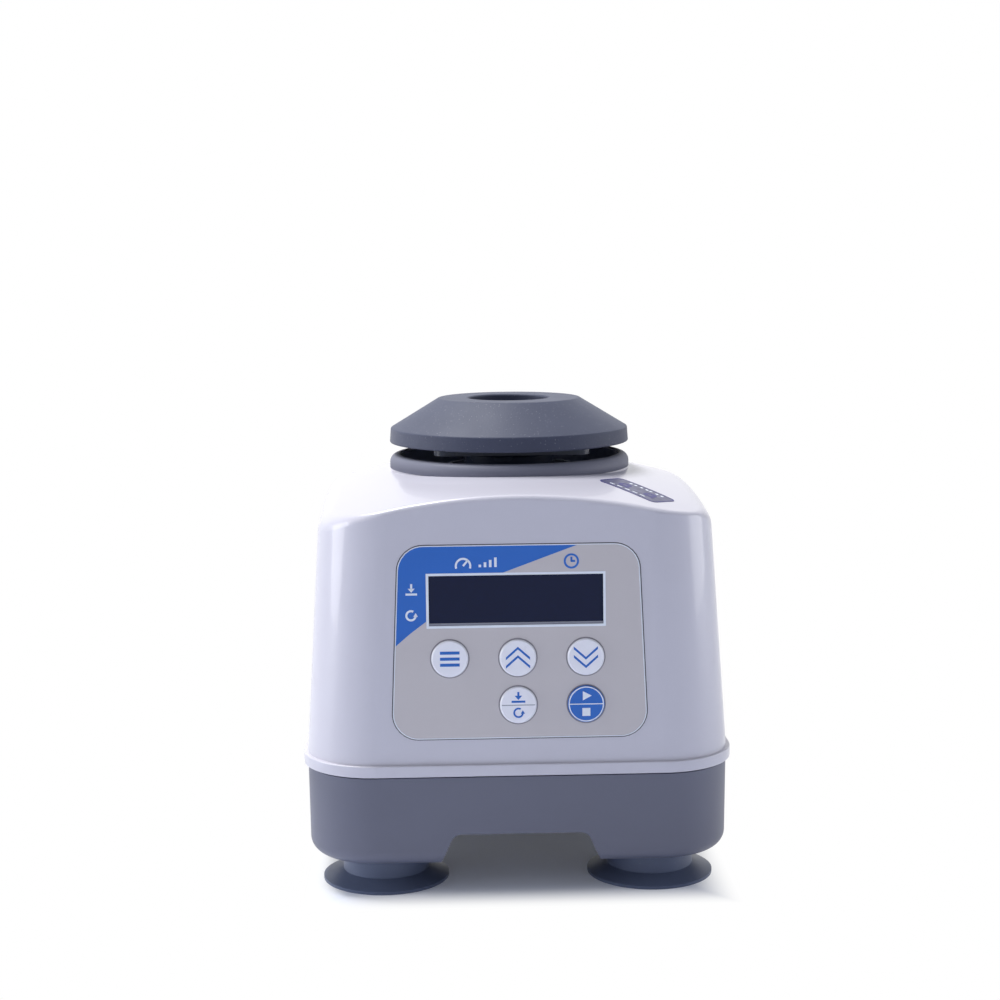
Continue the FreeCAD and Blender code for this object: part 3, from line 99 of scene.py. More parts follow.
# Stage: name, place and size of each lamp in metres, and its power in watts
LAMPS = (
    ("top_light", (-0.40, 0.24, 1.32), 0.50, 20.5),
    ("left_light", (-1.30, -0.10, 0.34), 0.8, 7.2),
    ("right_light", (1.35, 0.05, 0.16), 0.8, 4.6),
)
LAMP_AIM = (0, 0, 0.09)
AMBIENT_COLOUR = (0.82, 0.86, 1.0, 1.0)
AMBIENT_STRENGTH = 0.385
WHITE = (1.0, 1.0, 1.0, 1.0)
FLOOR_COLOUR = (0.80, 0.85, 0.97, 1.0)
# Painted light on the floor: FLOOR_LIFT is a faint white glow laid into the object's shadow, and from
# FADE_START to FADE_END the glow rises to plain white, fading the shadow out.
FLOOR_LIFT = 0.045
FADE_START = 0.066
FADE_END = 0.088
FADE_SHARES = (1.14, 1.0)
CAMERA_PLACE = (-0.0292, -0.7166, 0.2270)
CAMERA_YAW = 0.0356
CAMERA_PITCH = 0.1338
CAMERA_ROLL = -0.0092
CAMERA_SENSOR = 36.0
CAMERA_LENS = 68.216


def colour(name, description, default):
    return FloatVectorProperty(
        name=name, description=description, subtype="COLOR", size=3, min=0.0, max=1.0, default=default
    )


def length(name, description, default):
    return FloatProperty(
        name=name, description=description, subtype="DISTANCE", unit="LENGTH", min=0.0, default=default
    )


class MIXER_PG_colours(bpy.types.PropertyGroup):
    """Colours of the finishes."""

    casing: colour("Casing", "Moulded casing", (0.572, 0.562, 0.636))
    base: colour("Base", "Painted base", (0.128, 0.136, 0.192))
    head: colour("Head", "Rubber head", (0.049, 0.058, 0.100))
    feet: colour("Feet", "Suction cup rubber", (0.112, 0.139, 0.222))
    film: colour("Panel film", "Plain area of the front panel", (0.53, 0.505, 0.53))
    print_blue: colour("Print", "Blue print on the panel and keys", (0.010, 0.132, 0.545))
    print_white: colour("Light print", "Light print on blue", (0.80, 0.85, 0.93))
    key: colour("Key", "Light keys", (0.86, 0.86, 0.93))
    window: colour("Window", "Display window", (0.004, 0.010, 0.042))
    label: colour("Label", "Silver label on the top", (0.125, 0.127, 0.230))
    # Painted shade: a dark ring over the collar, where the head's shade falls.
    collar_shade: colour("Collar shade", "Painted shade on the collar", (0.150, 0.156, 0.205))
    # Painted shade: the well's lining stands for the shade in the gap under the head.
    well_shade: colour("Well shade", "Painted shade lining the well", (0.160, 0.180, 0.260))
    label_print: colour("Label print", "Dark print on the label", (0.020, 0.018, 0.150))


class MIXER_PG_sizes(bpy.types.PropertyGroup):
    """Sizes of the printed and applied pieces."""

    print_thickness: length("Print thickness", "Height of printed ink above its film", 0.00004)
    border: length("Display border", "Width of the light line round the display", 0.00085)
    mark_stroke: length("Mark stroke", "Line width of the marks on the keys", 0.00072)
    label_thickness: length("Label thickness", "Thickness of the label on the top", 0.00012)


def colours():
    return bpy.context.scene.mixer_colours


def sizes():
    return bpy.context.scene.mixer_sizes


# Shared surface effects


def new_group(name, inputs, outputs):
    group = bpy.data.node_groups.new(name, "ShaderNodeTree")
    for label, kind, default in inputs:
        socket = group.interface.new_socket(label, in_out="INPUT", socket_type=kind)
        socket.default_value = default
    for label, kind in outputs:
        group.interface.new_socket(label, in_out="OUTPUT", socket_type=kind)
    return group, group.nodes.new("NodeGroupInput"), group.nodes.new("NodeGroupOutput")


def noise(tree, scale, detail, roughness=0.5):
    place = tree.nodes.new("ShaderNodeTexCoord")
    texture = tree.nodes.new("ShaderNodeTexNoise")
    texture.inputs["Detail"].default_value = detail
    texture.inputs["Roughness"].default_value = roughness
    tree.links.new(place.outputs["Object"], texture.inputs["Vector"])
    if hasattr(scale, "links"):
        tree.links.new(scale, texture.inputs["Scale"])
    else:
        texture.inputs["Scale"].default_value = scale
    return texture.outputs["Fac"]


def spread(tree, value, low, high):
    """Stretch a 0 to 1 value between two limits."""
    remap = tree.nodes.new("ShaderNodeMapRange")
    tree.links.new(value, remap.inputs["Value"])
    remap.inputs["From Min"].default_value = 0.2
    remap.inputs["From Max"].default_value = 0.8
    for socket, limit in (("To Min", low), ("To Max", high)):
        if hasattr(limit, "links"):
            tree.links.new(limit, remap.inputs[socket])
        else:
            remap.inputs[socket].default_value = limit
    return remap.outputs["Result"]


def finish_group():
    """Uneven colour, uneven gloss and a fine grain, for moulded, painted and turned surfaces."""
    group, given, out = new_group(
        "Surface finish",
        [
            ("Color", "NodeSocketColor", (0.5, 0.5, 0.5, 1.0)),
            ("Shade", "NodeSocketColor", (0.45, 0.45, 0.45, 1.0)),
            ("Cloud Scale", "NodeSocketFloat", 30.0),
            ("Grain Scale", "NodeSocketFloat", 2500.0),
            ("Gloss Low", "NodeSocketFloat", 0.3),
            ("Gloss High", "NodeSocketFloat", 0.4),
        ],
        [("Color", "NodeSocketColor"), ("Roughness", "NodeSocketFloat"), ("Height", "NodeSocketFloat")],
    )
    cloud = noise(group, given.outputs["Cloud Scale"], 4.0)
    grain = noise(group, given.outputs["Grain Scale"], 2.0)
    tint = group.nodes.new("ShaderNodeMix")
    tint.data_type = "RGBA"
    group.links.new(spread(group, cloud, 0.0, 1.0), tint.inputs["Factor"])
    group.links.new(given.outputs["Color"], tint.inputs["A"])
    group.links.new(given.outputs["Shade"], tint.inputs["B"])
    group.links.new(tint.outputs["Result"], out.inputs["Color"])
    gloss = spread(group, cloud, given.outputs["Gloss Low"], given.outputs["Gloss High"])
    group.links.new(gloss, out.inputs["Roughness"])
    group.links.new(grain, out.inputs["Height"])
    return group


def speck_group():
    """Sparse pale specks of dust."""
    group, given, out = new_group(
        "Dust specks",
        [("Scale", "NodeSocketFloat", 900.0), ("Reach", "NodeSocketFloat", 0.1)],
        [("Mask", "NodeSocketFloat")],
    )
    place = group.nodes.new("ShaderNodeTexCoord")
    cells = group.nodes.new("ShaderNodeTexVoronoi")
    group.links.new(place.outputs["Object"], cells.inputs["Vector"])
    group.links.new(given.outputs["Scale"], cells.inputs["Scale"])
    near = group.nodes.new("ShaderNodeMath")
    near.operation = "LESS_THAN"
    group.links.new(cells.outputs["Distance"], near.inputs[0])
    group.links.new(given.outputs["Reach"], near.inputs[1])
    patch = group.nodes.new("ShaderNodeMath")
    patch.operation = "MULTIPLY"
    group.links.new(near.outputs[0], patch.inputs[0])
    group.links.new(spread(group, noise(group, 60.0, 2.0), 0.0, 1.0), patch.inputs[1])
    group.links.new(patch.outputs[0], out.inputs["Mask"])
    return group


def shared_group(name, build):
    return bpy.data.node_groups.get(name) or build()


def finish(
    name, base, shade=0.93, gloss=(0.3, 0.4), cloud=30.0, grain=2500.0, bump=0.05, metallic=0.0,
    specular=0.5, coat=0.0, dust=0.0, sheen=0.0,
):
    """A material with an uneven surface."""
    found = bpy.data.materials.get(name)
    if found:
        return found
    material = bpy.data.materials.new(name)
    material.use_nodes = True
    tree = material.node_tree
    shader = tree.nodes["Principled BSDF"]
    surface = tree.nodes.new("ShaderNodeGroup")
    surface.node_tree = shared_group("Surface finish", finish_group)
    surface.inputs["Color"].default_value = (*base, 1.0)
    surface.inputs["Shade"].default_value = (*[channel * shade for channel in base], 1.0)
    surface.inputs["Cloud Scale"].default_value = cloud
    surface.inputs["Grain Scale"].default_value = grain
    surface.inputs["Gloss Low"].default_value = gloss[0]
    surface.inputs["Gloss High"].default_value = gloss[1]
    result = surface.outputs["Color"]
    if dust:
        specks = tree.nodes.new("ShaderNodeGroup")
        specks.node_tree = shared_group("Dust specks", speck_group)
        specks.inputs["Reach"].default_value = dust
        lighten = tree.nodes.new("ShaderNodeMix")
        lighten.data_type = "RGBA"
        lighten.inputs["B"].default_value = (0.45, 0.45, 0.5, 1.0)
        tree.links.new(specks.outputs["Mask"], lighten.inputs["Factor"])
        tree.links.new(result, lighten.inputs["A"])
        result = lighten.outputs["Result"]
    tree.links.new(result, shader.inputs["Base Color"])
    tree.links.new(surface.outputs["Roughness"], shader.inputs["Roughness"])
    relief = tree.nodes.new("ShaderNodeBump")
    relief.inputs["Strength"].default_value = bump
    relief.inputs["Distance"].default_value = 0.0002
    tree.links.new(surface.outputs["Height"], relief.inputs["Height"])
    tree.links.new(relief.outputs["Normal"], shader.inputs["Normal"])
    shader.inputs["Metallic"].default_value = metallic
    shader.inputs["Specular IOR Level"].default_value = specular
    shader.inputs["Coat Weight"].default_value = coat
    shader.inputs["Sheen Weight"].default_value = sheen
    return material


def dress(node, material):
    """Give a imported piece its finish."""
    piece = NODES[node]
    if not piece.material_slots:
        piece.data.materials.append(material)
    for holder in piece.material_slots:
        holder.link = "OBJECT"
        holder.material = material


# Flat marks, drawn in millimetres


def bar(x0, y0, x1, y1, width):
    along = Vector((x1 - x0, y1 - y0)).normalized()
    side = Vector((-along.y, along.x)) * width / 2
    start, end = Vector((x0, y0)), Vector((x1, y1))
    return [start + side, start - side, end - side, end + side]


def arc_points(x, y, radius, start, end, count):
    angles = [math.radians(start + (end - start) * step / count) for step in range(count + 1)]
    return [Vector((x + radius * math.cos(a), y + radius * math.sin(a))) for a in angles]


def round_outline(corners, radius, step=2.0):
    """A closed outline with round corners, cut into short stretches so it can follow a curve."""
    points = []
    count = len(corners)
    for index in range(count):
        before, here, after = (Vector(corners[(index + move) % count]) for move in (-1, 0, 1))
        back, ahead = (before - here).normalized(), (after - here).normalized()
        half = back.angle(ahead) / 2
        middle = here + (back + ahead).normalized() * radius / math.sin(half)
        start = here + back * radius / math.tan(half)
        end = here + ahead * radius / math.tan(half)
        if points:
            run = start - points[-1]
            parts = max(1, int(run.length / step))
            points += [points[-1] + run * part / parts for part in range(1, parts)]
        for part in range(9):
            share = part / 8
            points.append(middle + (start - middle).lerp(end - middle, share).normalized() * radius)
    run = points[0] - points[-1]
    parts = max(1, int(run.length / step))
    points += [points[-1] + run * part / parts for part in range(1, parts)]
    return points


def outline_ring(points, width):
    """A closed ring of even width just inside an outline."""
    count = len(points)
    inner = []
    for index in range(count):
        along = (points[(index + 1) % count] - points[index - 1]).normalized()
        inner.append(points[index] + Vector((-along.y, along.x)) * width)
    return ("strip", points + points[:1], inner + inner[:1], True)


def ring(x, y, radius, width, start=0, end=360):
    """An open or closed ring as a chain of four-cornered pieces."""
    count = max(6, int(abs(end - start) / 7))
    outer = arc_points(x, y, radius + width / 2, start, end, count)
    inner = arc_points(x, y, radius - width / 2, start, end, count)
    return ("strip", outer, inner, abs(end - start) >= 360)


def chevron(x, y, half, rise, width):
    """Two strokes that meet in a point, as one mitred shape."""
    tip = width / 2 * math.hypot(half, rise) / half
    return [
        Vector((x - half, y - tip)), Vector((x, y + rise - tip)), Vector((x + half, y - tip)),
        Vector((x + half, y + tip)), Vector((x, y + rise + tip)), Vector((x - half, y + tip)),
    ]


def frame_ring(x0, y0, x1, y1, width):
    outer = [Vector(p) for p in ((x0, y0), (x1, y0), (x1, y1), (x0, y1), (x0, y0))]
    inner = [
        Vector(p)
        for p in (
            (x0 + width, y0 + width), (x1 - width, y0 + width), (x1 - width, y1 - width),
            (x0 + width, y1 - width), (x0 + width, y0 + width),
        )
    ]
    return ("strip", outer, inner, True)


def on_panel(x, y, up):
    """A place on the front panel, given in its own frame."""
    turn = Matrix.Rotation(math.pi / 2 - LEAN, 3, "X")
    return (Vector(PANEL_MIDDLE) + turn @ Vector((x, y, up))) * MM


def on_top(x, y, up):
    """A place on the casing's top, given in the label's frame."""
    turn = Matrix.Rotation(LABEL_TURN, 2)
    spot = Vector(LABEL_MIDDLE) + turn @ Vector((x, y))
    ring_radius = TOP_ALONG - TOP_ACROSS + math.sqrt(TOP_ACROSS**2 - spot.x**2)
    height = TOP_HEIGHT - TOP_ALONG + math.sqrt(ring_radius**2 - spot.y**2)
    return Vector((spot.x, spot.y, height + up)) * MM


def solid_mark(name, shapes, level, thickness, place):
    """Thin closed plates with the given outlines, lying level millimetres above a surface."""
    mesh = bmesh.new()
    top = level + thickness / MM

    def prism(points):
        low = [mesh.verts.new(place(p.x, p.y, level)) for p in points]
        high = [mesh.verts.new(place(p.x, p.y, top)) for p in points]
        mesh.faces.new(high)
        mesh.faces.new(list(reversed(low)))
        for index in range(len(points)):
            after = (index + 1) % len(points)
            mesh.faces.new((low[index], low[after], high[after], high[index]))

    def strip(outer, inner, closed):
        count = len(outer) - 1 if closed else len(outer)
        rows = []
        for index in range(count):
            corners = (
                (outer[index], level), (outer[index], top), (inner[index], top), (inner[index], level)
            )
            rows.append([mesh.verts.new(place(p.x, p.y, up)) for p, up in corners])
        for index in range(count if closed else count - 1):
            this, after = rows[index], rows[(index + 1) % count]
            for corner in range(4):
                beside = (corner + 1) % 4
                mesh.faces.new((this[corner], after[corner], after[beside], this[beside]))
        if not closed:
            mesh.faces.new(rows[0])
            mesh.faces.new(list(reversed(rows[-1])))

    for shape in shapes:
        if isinstance(shape, tuple):
            strip(*shape[1:])
        else:
            prism(shape)
    bmesh.ops.recalc_face_normals(mesh, faces=mesh.faces)
    data = bpy.data.meshes.new(name)
    mesh.to_mesh(data)
    mesh.free()
    piece = bpy.data.objects.new(name, data)
    bpy.context.scene.collection.objects.link(piece)
    return piece


def printed(name, shapes, level, material, body, thickness=None, place=on_panel):
    ink = sizes().print_thickness if thickness is None else thickness
    piece = solid_mark(name, shapes, level, ink, place)
    piece.data.materials.append(material)
    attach(piece, body)
    return piece


def turned(name, section, body, material, steps=96):
    """A closed ring: a section of radius and height in millimetres, turned about the middle."""
    mesh = bmesh.new()
    rows = []
    for index in range(steps):
        angle = 2 * math.pi * index / steps
        rows.append([
            mesh.verts.new(Vector((radius * math.cos(angle), radius * math.sin(angle), height)) * MM)
            for radius, height in section
        ])
    for index in range(steps):
        this, after = rows[index], rows[(index + 1) % steps]
        for corner in range(len(section)):
            beside = (corner + 1) % len(section)
            mesh.faces.new((this[corner], after[corner], after[beside], this[beside]))
    bmesh.ops.recalc_face_normals(mesh, faces=mesh.faces)
    data = bpy.data.meshes.new(name)
    mesh.to_mesh(data)
    mesh.free()
    data.shade_smooth()
    piece = bpy.data.objects.new(name, data)
    bpy.context.scene.collection.objects.link(piece)
    data.materials.append(material)
    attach(piece, body)
    return piece


def label_plate(name, outline, thick):
    """A closed plate that follows the casing's top."""
    mesh = bmesh.new()
    layers = []
    for up in (LABEL_GAP, thick):
        rings = []
        for share in (1.0, 0.75, 0.5, 0.25):
            rings.append([mesh.verts.new(on_top(p.x * share, p.y * share, up)) for p in outline])
        layers.append((rings, mesh.verts.new(on_top(0, 0, up))))
    count = len(outline)
    for index in range(count):
        after = (index + 1) % count
        for rings, middle in layers:
            for wide, tight in zip(rings, rings[1:]):
                mesh.faces.new((wide[index], wide[after], tight[after], tight[index]))
            mesh.faces.new((rings[-1][index], rings[-1][after], middle))
        low, high = layers[0][0][0], layers[1][0][0]
        mesh.faces.new((low[index], low[after], high[after], high[index]))
    bmesh.ops.recalc_face_normals(mesh, faces=mesh.faces)
    data = bpy.data.meshes.new(name)
    mesh.to_mesh(data)
    mesh.free()
    piece = bpy.data.objects.new(name, data)
    bpy.context.scene.collection.objects.link(piece)
    return piece


def collar_shade_section():
    """The section of the painted shade ring, which follows the collar's outer face and its rounded top."""
    radius, height, bend = COLLAR_ROUND

    def curve(grown, angles):
        reach = bend + grown
        turns = [math.radians(angle) for angle in angles]
        return [(radius + reach * math.cos(a), height + reach * math.sin(a)) for a in turns]

    outer = curve(SHADE_RING_FAR, range(0, 91, 15))
    inner = curve(SHADE_RING_NEAR, range(90, -1, -15))
    rim = [(SHADE_RING_INSIDE, outer[-1][1]), (SHADE_RING_INSIDE, inner[0][1])]
    return outer + rim + inner + list(reversed(SHADE_RING_FOOT))


def blue_ink():
    return finish("Blue ink", colours().print_blue, 0.94, (0.34, 0.44), bump=0.02)


def light_ink():
    return finish("Light ink", colours().print_white, 0.97, (0.35, 0.45), bump=0.02)


# Pieces


class MIXER_OT_stage(bpy.types.Operator):
    """Lay the floor, the light and the camera"""

    bl_idname = "mixer.stage"
    bl_label = "Stage"

    @staticmethod
    def background_rays(tree):
        """One for rays that should meet a plain white background, zero for the light on pieces."""
        path = tree.nodes.new("ShaderNodeLightPath")
        result = path.outputs["Is Camera Ray"]
        for kind in ("Is Glossy Ray", "Is Transmission Ray"):
            either = tree.nodes.new("ShaderNodeMath")
            either.operation = "MAXIMUM"
            tree.links.new(result, either.inputs[0])
            tree.links.new(path.outputs[kind], either.inputs[1])
            result = either.outputs[0]
        return result

    def execute(self, context):
        scene = context.scene
        scene.view_settings.view_transform = "Standard"
        bpy.ops.mesh.primitive_plane_add(size=12, location=(0, 0, 0))
        floor = context.object
        floor.name = "floor"
        material = bpy.data.materials.new("Pale floor")
        material.use_nodes = True
        tree = material.node_tree
        shader = tree.nodes["Principled BSDF"]
        shader.inputs["Base Color"].default_value = FLOOR_COLOUR
        shader.inputs["Roughness"].default_value = 0.7
        shader.inputs["Specular IOR Level"].default_value = 0.1
        glow = tree.nodes.new("ShaderNodeEmission")
        glow.inputs["Color"].default_value = WHITE
        glow.inputs["Strength"].default_value = 1.0
        spot = tree.nodes.new("ShaderNodeTexCoord")
        parts = tree.nodes.new("ShaderNodeSeparateXYZ")
        tree.links.new(spot.outputs["Object"], parts.inputs[0])
        reach = tree.nodes.new("ShaderNodeMath")
        reach.operation = "MAXIMUM"
        for index, share in enumerate(FADE_SHARES):
            size = tree.nodes.new("ShaderNodeMath")
            size.operation = "ABSOLUTE"
            tree.links.new(parts.outputs[index], size.inputs[0])
            scaled = tree.nodes.new("ShaderNodeMath")
            scaled.operation = "MULTIPLY"
            scaled.inputs[1].default_value = share
            tree.links.new(size.outputs[0], scaled.inputs[0])
            tree.links.new(scaled.outputs[0], reach.inputs[index])
        # Painted light: for camera, glossy and transmission rays the floor glows faintly in the object's
        # shadow, and the glow grows to plain white just beyond the footprint.
        away = tree.nodes.new("ShaderNodeMapRange")
        away.interpolation_type = "SMOOTHSTEP"
        away.inputs["From Min"].default_value = FADE_START
        away.inputs["From Max"].default_value = FADE_END
        away.inputs["To Min"].default_value = FLOOR_LIFT
        tree.links.new(reach.outputs[0], away.inputs["Value"])
        plain = tree.nodes.new("ShaderNodeMath")
        plain.operation = "MULTIPLY"
        tree.links.new(away.outputs["Result"], plain.inputs[0])
        tree.links.new(self.background_rays(tree), plain.inputs[1])
        blend = tree.nodes.new("ShaderNodeMixShader")
        tree.links.new(plain.outputs[0], blend.inputs["Fac"])
        tree.links.new(shader.outputs[0], blend.inputs[1])
        tree.links.new(glow.outputs[0], blend.inputs[2])
        tree.links.new(blend.outputs[0], tree.nodes["Material Output"].inputs["Surface"])
        floor.data.materials.append(material)

        world = bpy.data.worlds.new("Studio")
        scene.world = world
        world.use_nodes = True
        tree = world.node_tree
        tree.nodes.clear()
        seen = tree.nodes.new("ShaderNodeBackground")
        seen.inputs["Color"].default_value = WHITE
        seen.inputs["Strength"].default_value = 1.0
        light = tree.nodes.new("ShaderNodeBackground")
        light.inputs["Color"].default_value = AMBIENT_COLOUR
        light.inputs["Strength"].default_value = AMBIENT_STRENGTH
        blend = tree.nodes.new("ShaderNodeMixShader")
        tree.links.new(self.background_rays(tree), blend.inputs["Fac"])
        tree.links.new(light.outputs[0], blend.inputs[1])
        tree.links.new(seen.outputs[0], blend.inputs[2])
        out = tree.nodes.new("ShaderNodeOutputWorld")
        tree.links.new(blend.outputs[0], out.inputs["Surface"])

        for name, place, size, power in LAMPS:
            lamp = bpy.data.lights.new(name, "AREA")
            lamp.shape = "DISK"
            lamp.size = size
            lamp.energy = power
            holder = bpy.data.objects.new(name, lamp)
            holder.location = place
            aim = Vector(LAMP_AIM) - Vector(place)
            holder.rotation_euler = aim.to_track_quat("-Z", "Y").to_euler()
            scene.collection.objects.link(holder)

        yaw, pitch, roll = CAMERA_YAW, CAMERA_PITCH, CAMERA_ROLL
        level = Vector((math.sin(yaw), math.cos(yaw), 0))
        right = Vector((math.cos(yaw), -math.sin(yaw), 0))
        up = Vector((0, 0, 1))
        ahead = level * math.cos(pitch) - up * math.sin(pitch)
        above = up * math.cos(pitch) + level * math.sin(pitch)
        across = right * math.cos(roll) + above * math.sin(roll)
        above = above * math.cos(roll) - right * math.sin(roll)
        data = bpy.data.cameras.new("view_camera")
        data.sensor_width = CAMERA_SENSOR
        data.lens = CAMERA_LENS
        camera = bpy.data.objects.new("view_camera", data)
        turn = Matrix((across, above, -ahead)).transposed().to_4x4()
        camera.matrix_world = Matrix.Translation(CAMERA_PLACE) @ turn
        scene.collection.objects.link(camera)
        scene.camera = camera
        return {"FINISHED"}


class MIXER_OT_housing(bpy.types.Operator):
    """Finish the casing, the base, the seam and the feet"""

    bl_idname = "mixer.housing"
    bl_label = "Housing"

    def execute(self, context):
        paint = colours()
        dress("upper_housing", finish(
            "Casing plastic", paint.casing, 0.97, (0.26, 0.32), 18.0, 2200.0, 0.05, coat=0.35
        ))
        dress("lower_housing", finish(
            "Base paint", paint.base, 0.93, (0.40, 0.48), 22.0, 2600.0, 0.12
        ))
        dress("seam_gasket", finish("Seam rubber", (0.03, 0.03, 0.035), 0.9, (0.6, 0.7)))
        dress("suction_cups", finish(
            "Cup rubber", paint.feet, 0.88, (0.34, 0.46), 60.0, 1800.0, 0.08, specular=0.35, dust=0.06
        ))
        # Painted shade: a dark ring laid over the collar's face and rounded top, where the head's shade
        # falls.
        turned(
            "collar_shade_ring", collar_shade_section(), "housing",
            finish("Painted collar shade", paint.collar_shade, 0.95, (0.5, 0.6), specular=0.3),
        )
        # Painted shade: a dark sheet lining the well, in the gap under the head.
        turned(
            "well_shade_lining", WELL_SHADE_SECTION, "housing",
            finish("Painted well shade", paint.well_shade, 0.9, (0.6, 0.7), specular=0.2),
        )
        return {"FINISHED"}


class MIXER_OT_head(bpy.types.Operator):
    """Finish the rubber head and its carrier"""

    bl_idname = "mixer.head"
    bl_label = "Head"

    def execute(self, context):
        dress("rubber_head", finish(
            "Head rubber", colours().head, 0.86, (0.52, 0.62), 55.0, 1500.0, 0.3, specular=0.28, dust=0.10,
            sheen=0.1,
        ))
        dress("head_carrier", finish(
            "Carrier plastic", (0.040, 0.051, 0.088), 0.9, (0.24, 0.30), bump=0.01, specular=0.25
        ))
        return {"FINISHED"}


class MIXER_OT_panel(bpy.types.Operator):
    """Finish the front panel and print it"""

    bl_idname = "mixer.panel"
    bl_label = "Front panel"

    def execute(self, context):
        paint, size = colours(), sizes()
        dress("panel_overlay", finish(
            "Panel film", paint.film, 0.985, (0.38, 0.44), 25.0, 3500.0, 0.05, metallic=0.12
        ))
        dress("display_lens", finish(
            "Window tint", paint.window, 0.9, (0.08, 0.12), 40.0, 3000.0, 0.004, specular=0.16
        ))
        dress("display_digits", finish("Display block", (0.01, 0.011, 0.015), 0.9, (0.4, 0.5)))
        slope = (PANEL_LOW_HALF - PANEL_TOP_HALF) / PANEL_HEIGHT
        middle_half = (PANEL_LOW_HALF + PANEL_TOP_HALF) / 2
        centre_y = PRINT_TOP - PRINT_CORNER
        centre_x = -(middle_half - slope * centre_y) + PRINT_CORNER + 0.15
        corner = arc_points(centre_x, centre_y, PRINT_CORNER, 90, 180 - math.degrees(slope), 16)
        blue = [Vector((20.94, PRINT_TOP))] + corner + [
            Vector((-(middle_half + slope * 1.1) + 0.25, -1.1)),
            Vector((-37.65, 3.4)), Vector((-32.2, 7.42)), Vector((-32.2, 24.1)),
            Vector((-5.41, 24.1)), Vector((8.4, 29.1)),
        ]
        blue.reverse()
        printed("panel_blue_print", [blue], PANEL_FACE, blue_ink(), "housing")
        # Painted highlight: a light line just inside the film's edge, where the edge catches light.
        edge = round_outline([(-44.5, -33.7), (44.5, -33.7), (41.6, 33.7), (-41.6, 33.7)], 8.9)
        printed(
            "panel_edge_highlight", [outline_ring(edge, 0.28)], PANEL_FACE, light_ink(), "housing",
            size.print_thickness * 2,
        )
        # Painted shadow: a dark line just outside the film, where the groove round it lies in shade.
        groove = round_outline([(-44.95, -34.1), (44.95, -34.1), (42.05, 34.1), (-42.05, 34.1)], 9.3)
        printed(
            "panel_shade_line", [outline_ring(groove, 0.32)], 0.01,
            finish("Painted groove shade", (0.05, 0.052, 0.075), 0.95, (0.5, 0.6)), "housing",
        )
        # Painted shade: a grey ring round each key hole, where the gap round the key lies in shade.
        printed(
            "key_gap_shades", [ring(x, y, KEY_HOLE + 0.2, 0.4) for x, y in KEYS.values()], PANEL_FACE,
            finish("Painted key gap shade", (0.27, 0.26, 0.29), 0.95, (0.4, 0.5)), "housing",
        )
        sill = [Vector(spot) for spot in ((-31.2, 5.8), (29.2, 5.8), (29.2, 6.7), (-31.2, 6.7))]
        printed(
            "display_sill", [sill], LENS_FACE,
            finish("Sill ink", (0.26, 0.27, 0.33), 0.95, (0.4, 0.5)), "housing",
        )
        border = size.border / MM
        printed(
            "display_border", [frame_ring(-32.1, 5.0, 30.1, 24.1, border)], PANEL_FACE, light_ink(),
            "housing", size.print_thickness * 2,
        )
        stroke = size.mark_stroke / MM
        dial = [ring(-19.2, 26.6, 2.5, stroke, -20, 200), bar(-19.2, 26.6, -17.6, 28.5, stroke)]
        for step in range(4):
            x = -13.4 + 1.8 * step
            dial.append(bar(x, 26.1, x, 27.0 + 0.8 * step, 0.9))
        press = [bar(-37.2, 20.6, -37.2, 18.6, stroke), bar(-39.2, 17.0, -35.2, 17.0, stroke)]
        press += [[Vector((-38.4, 19.0)), Vector((-37.2, 17.6)), Vector((-36.0, 19.0))]]
        again = [ring(-37.4, 9.6, 1.6, stroke, 60, 360)]
        again += [[Vector((-36.6, 9.2)), Vector((-35.0, 9.2)), Vector((-35.8, 10.5))]]
        printed(
            "panel_light_marks", dial + press + again, PANEL_FACE + MARK_LIFT, light_ink(),
            "housing",
        )
        clock = [
            ring(18.3, 27.8, 2.3, stroke), bar(18.3, 27.6, 18.3, 29.3, stroke),
            bar(18.1, 27.8, 19.6, 27.8, stroke),
        ]
        printed("panel_clock_mark", clock, PANEL_FACE, blue_ink(), "housing")
        return {"FINISHED"}


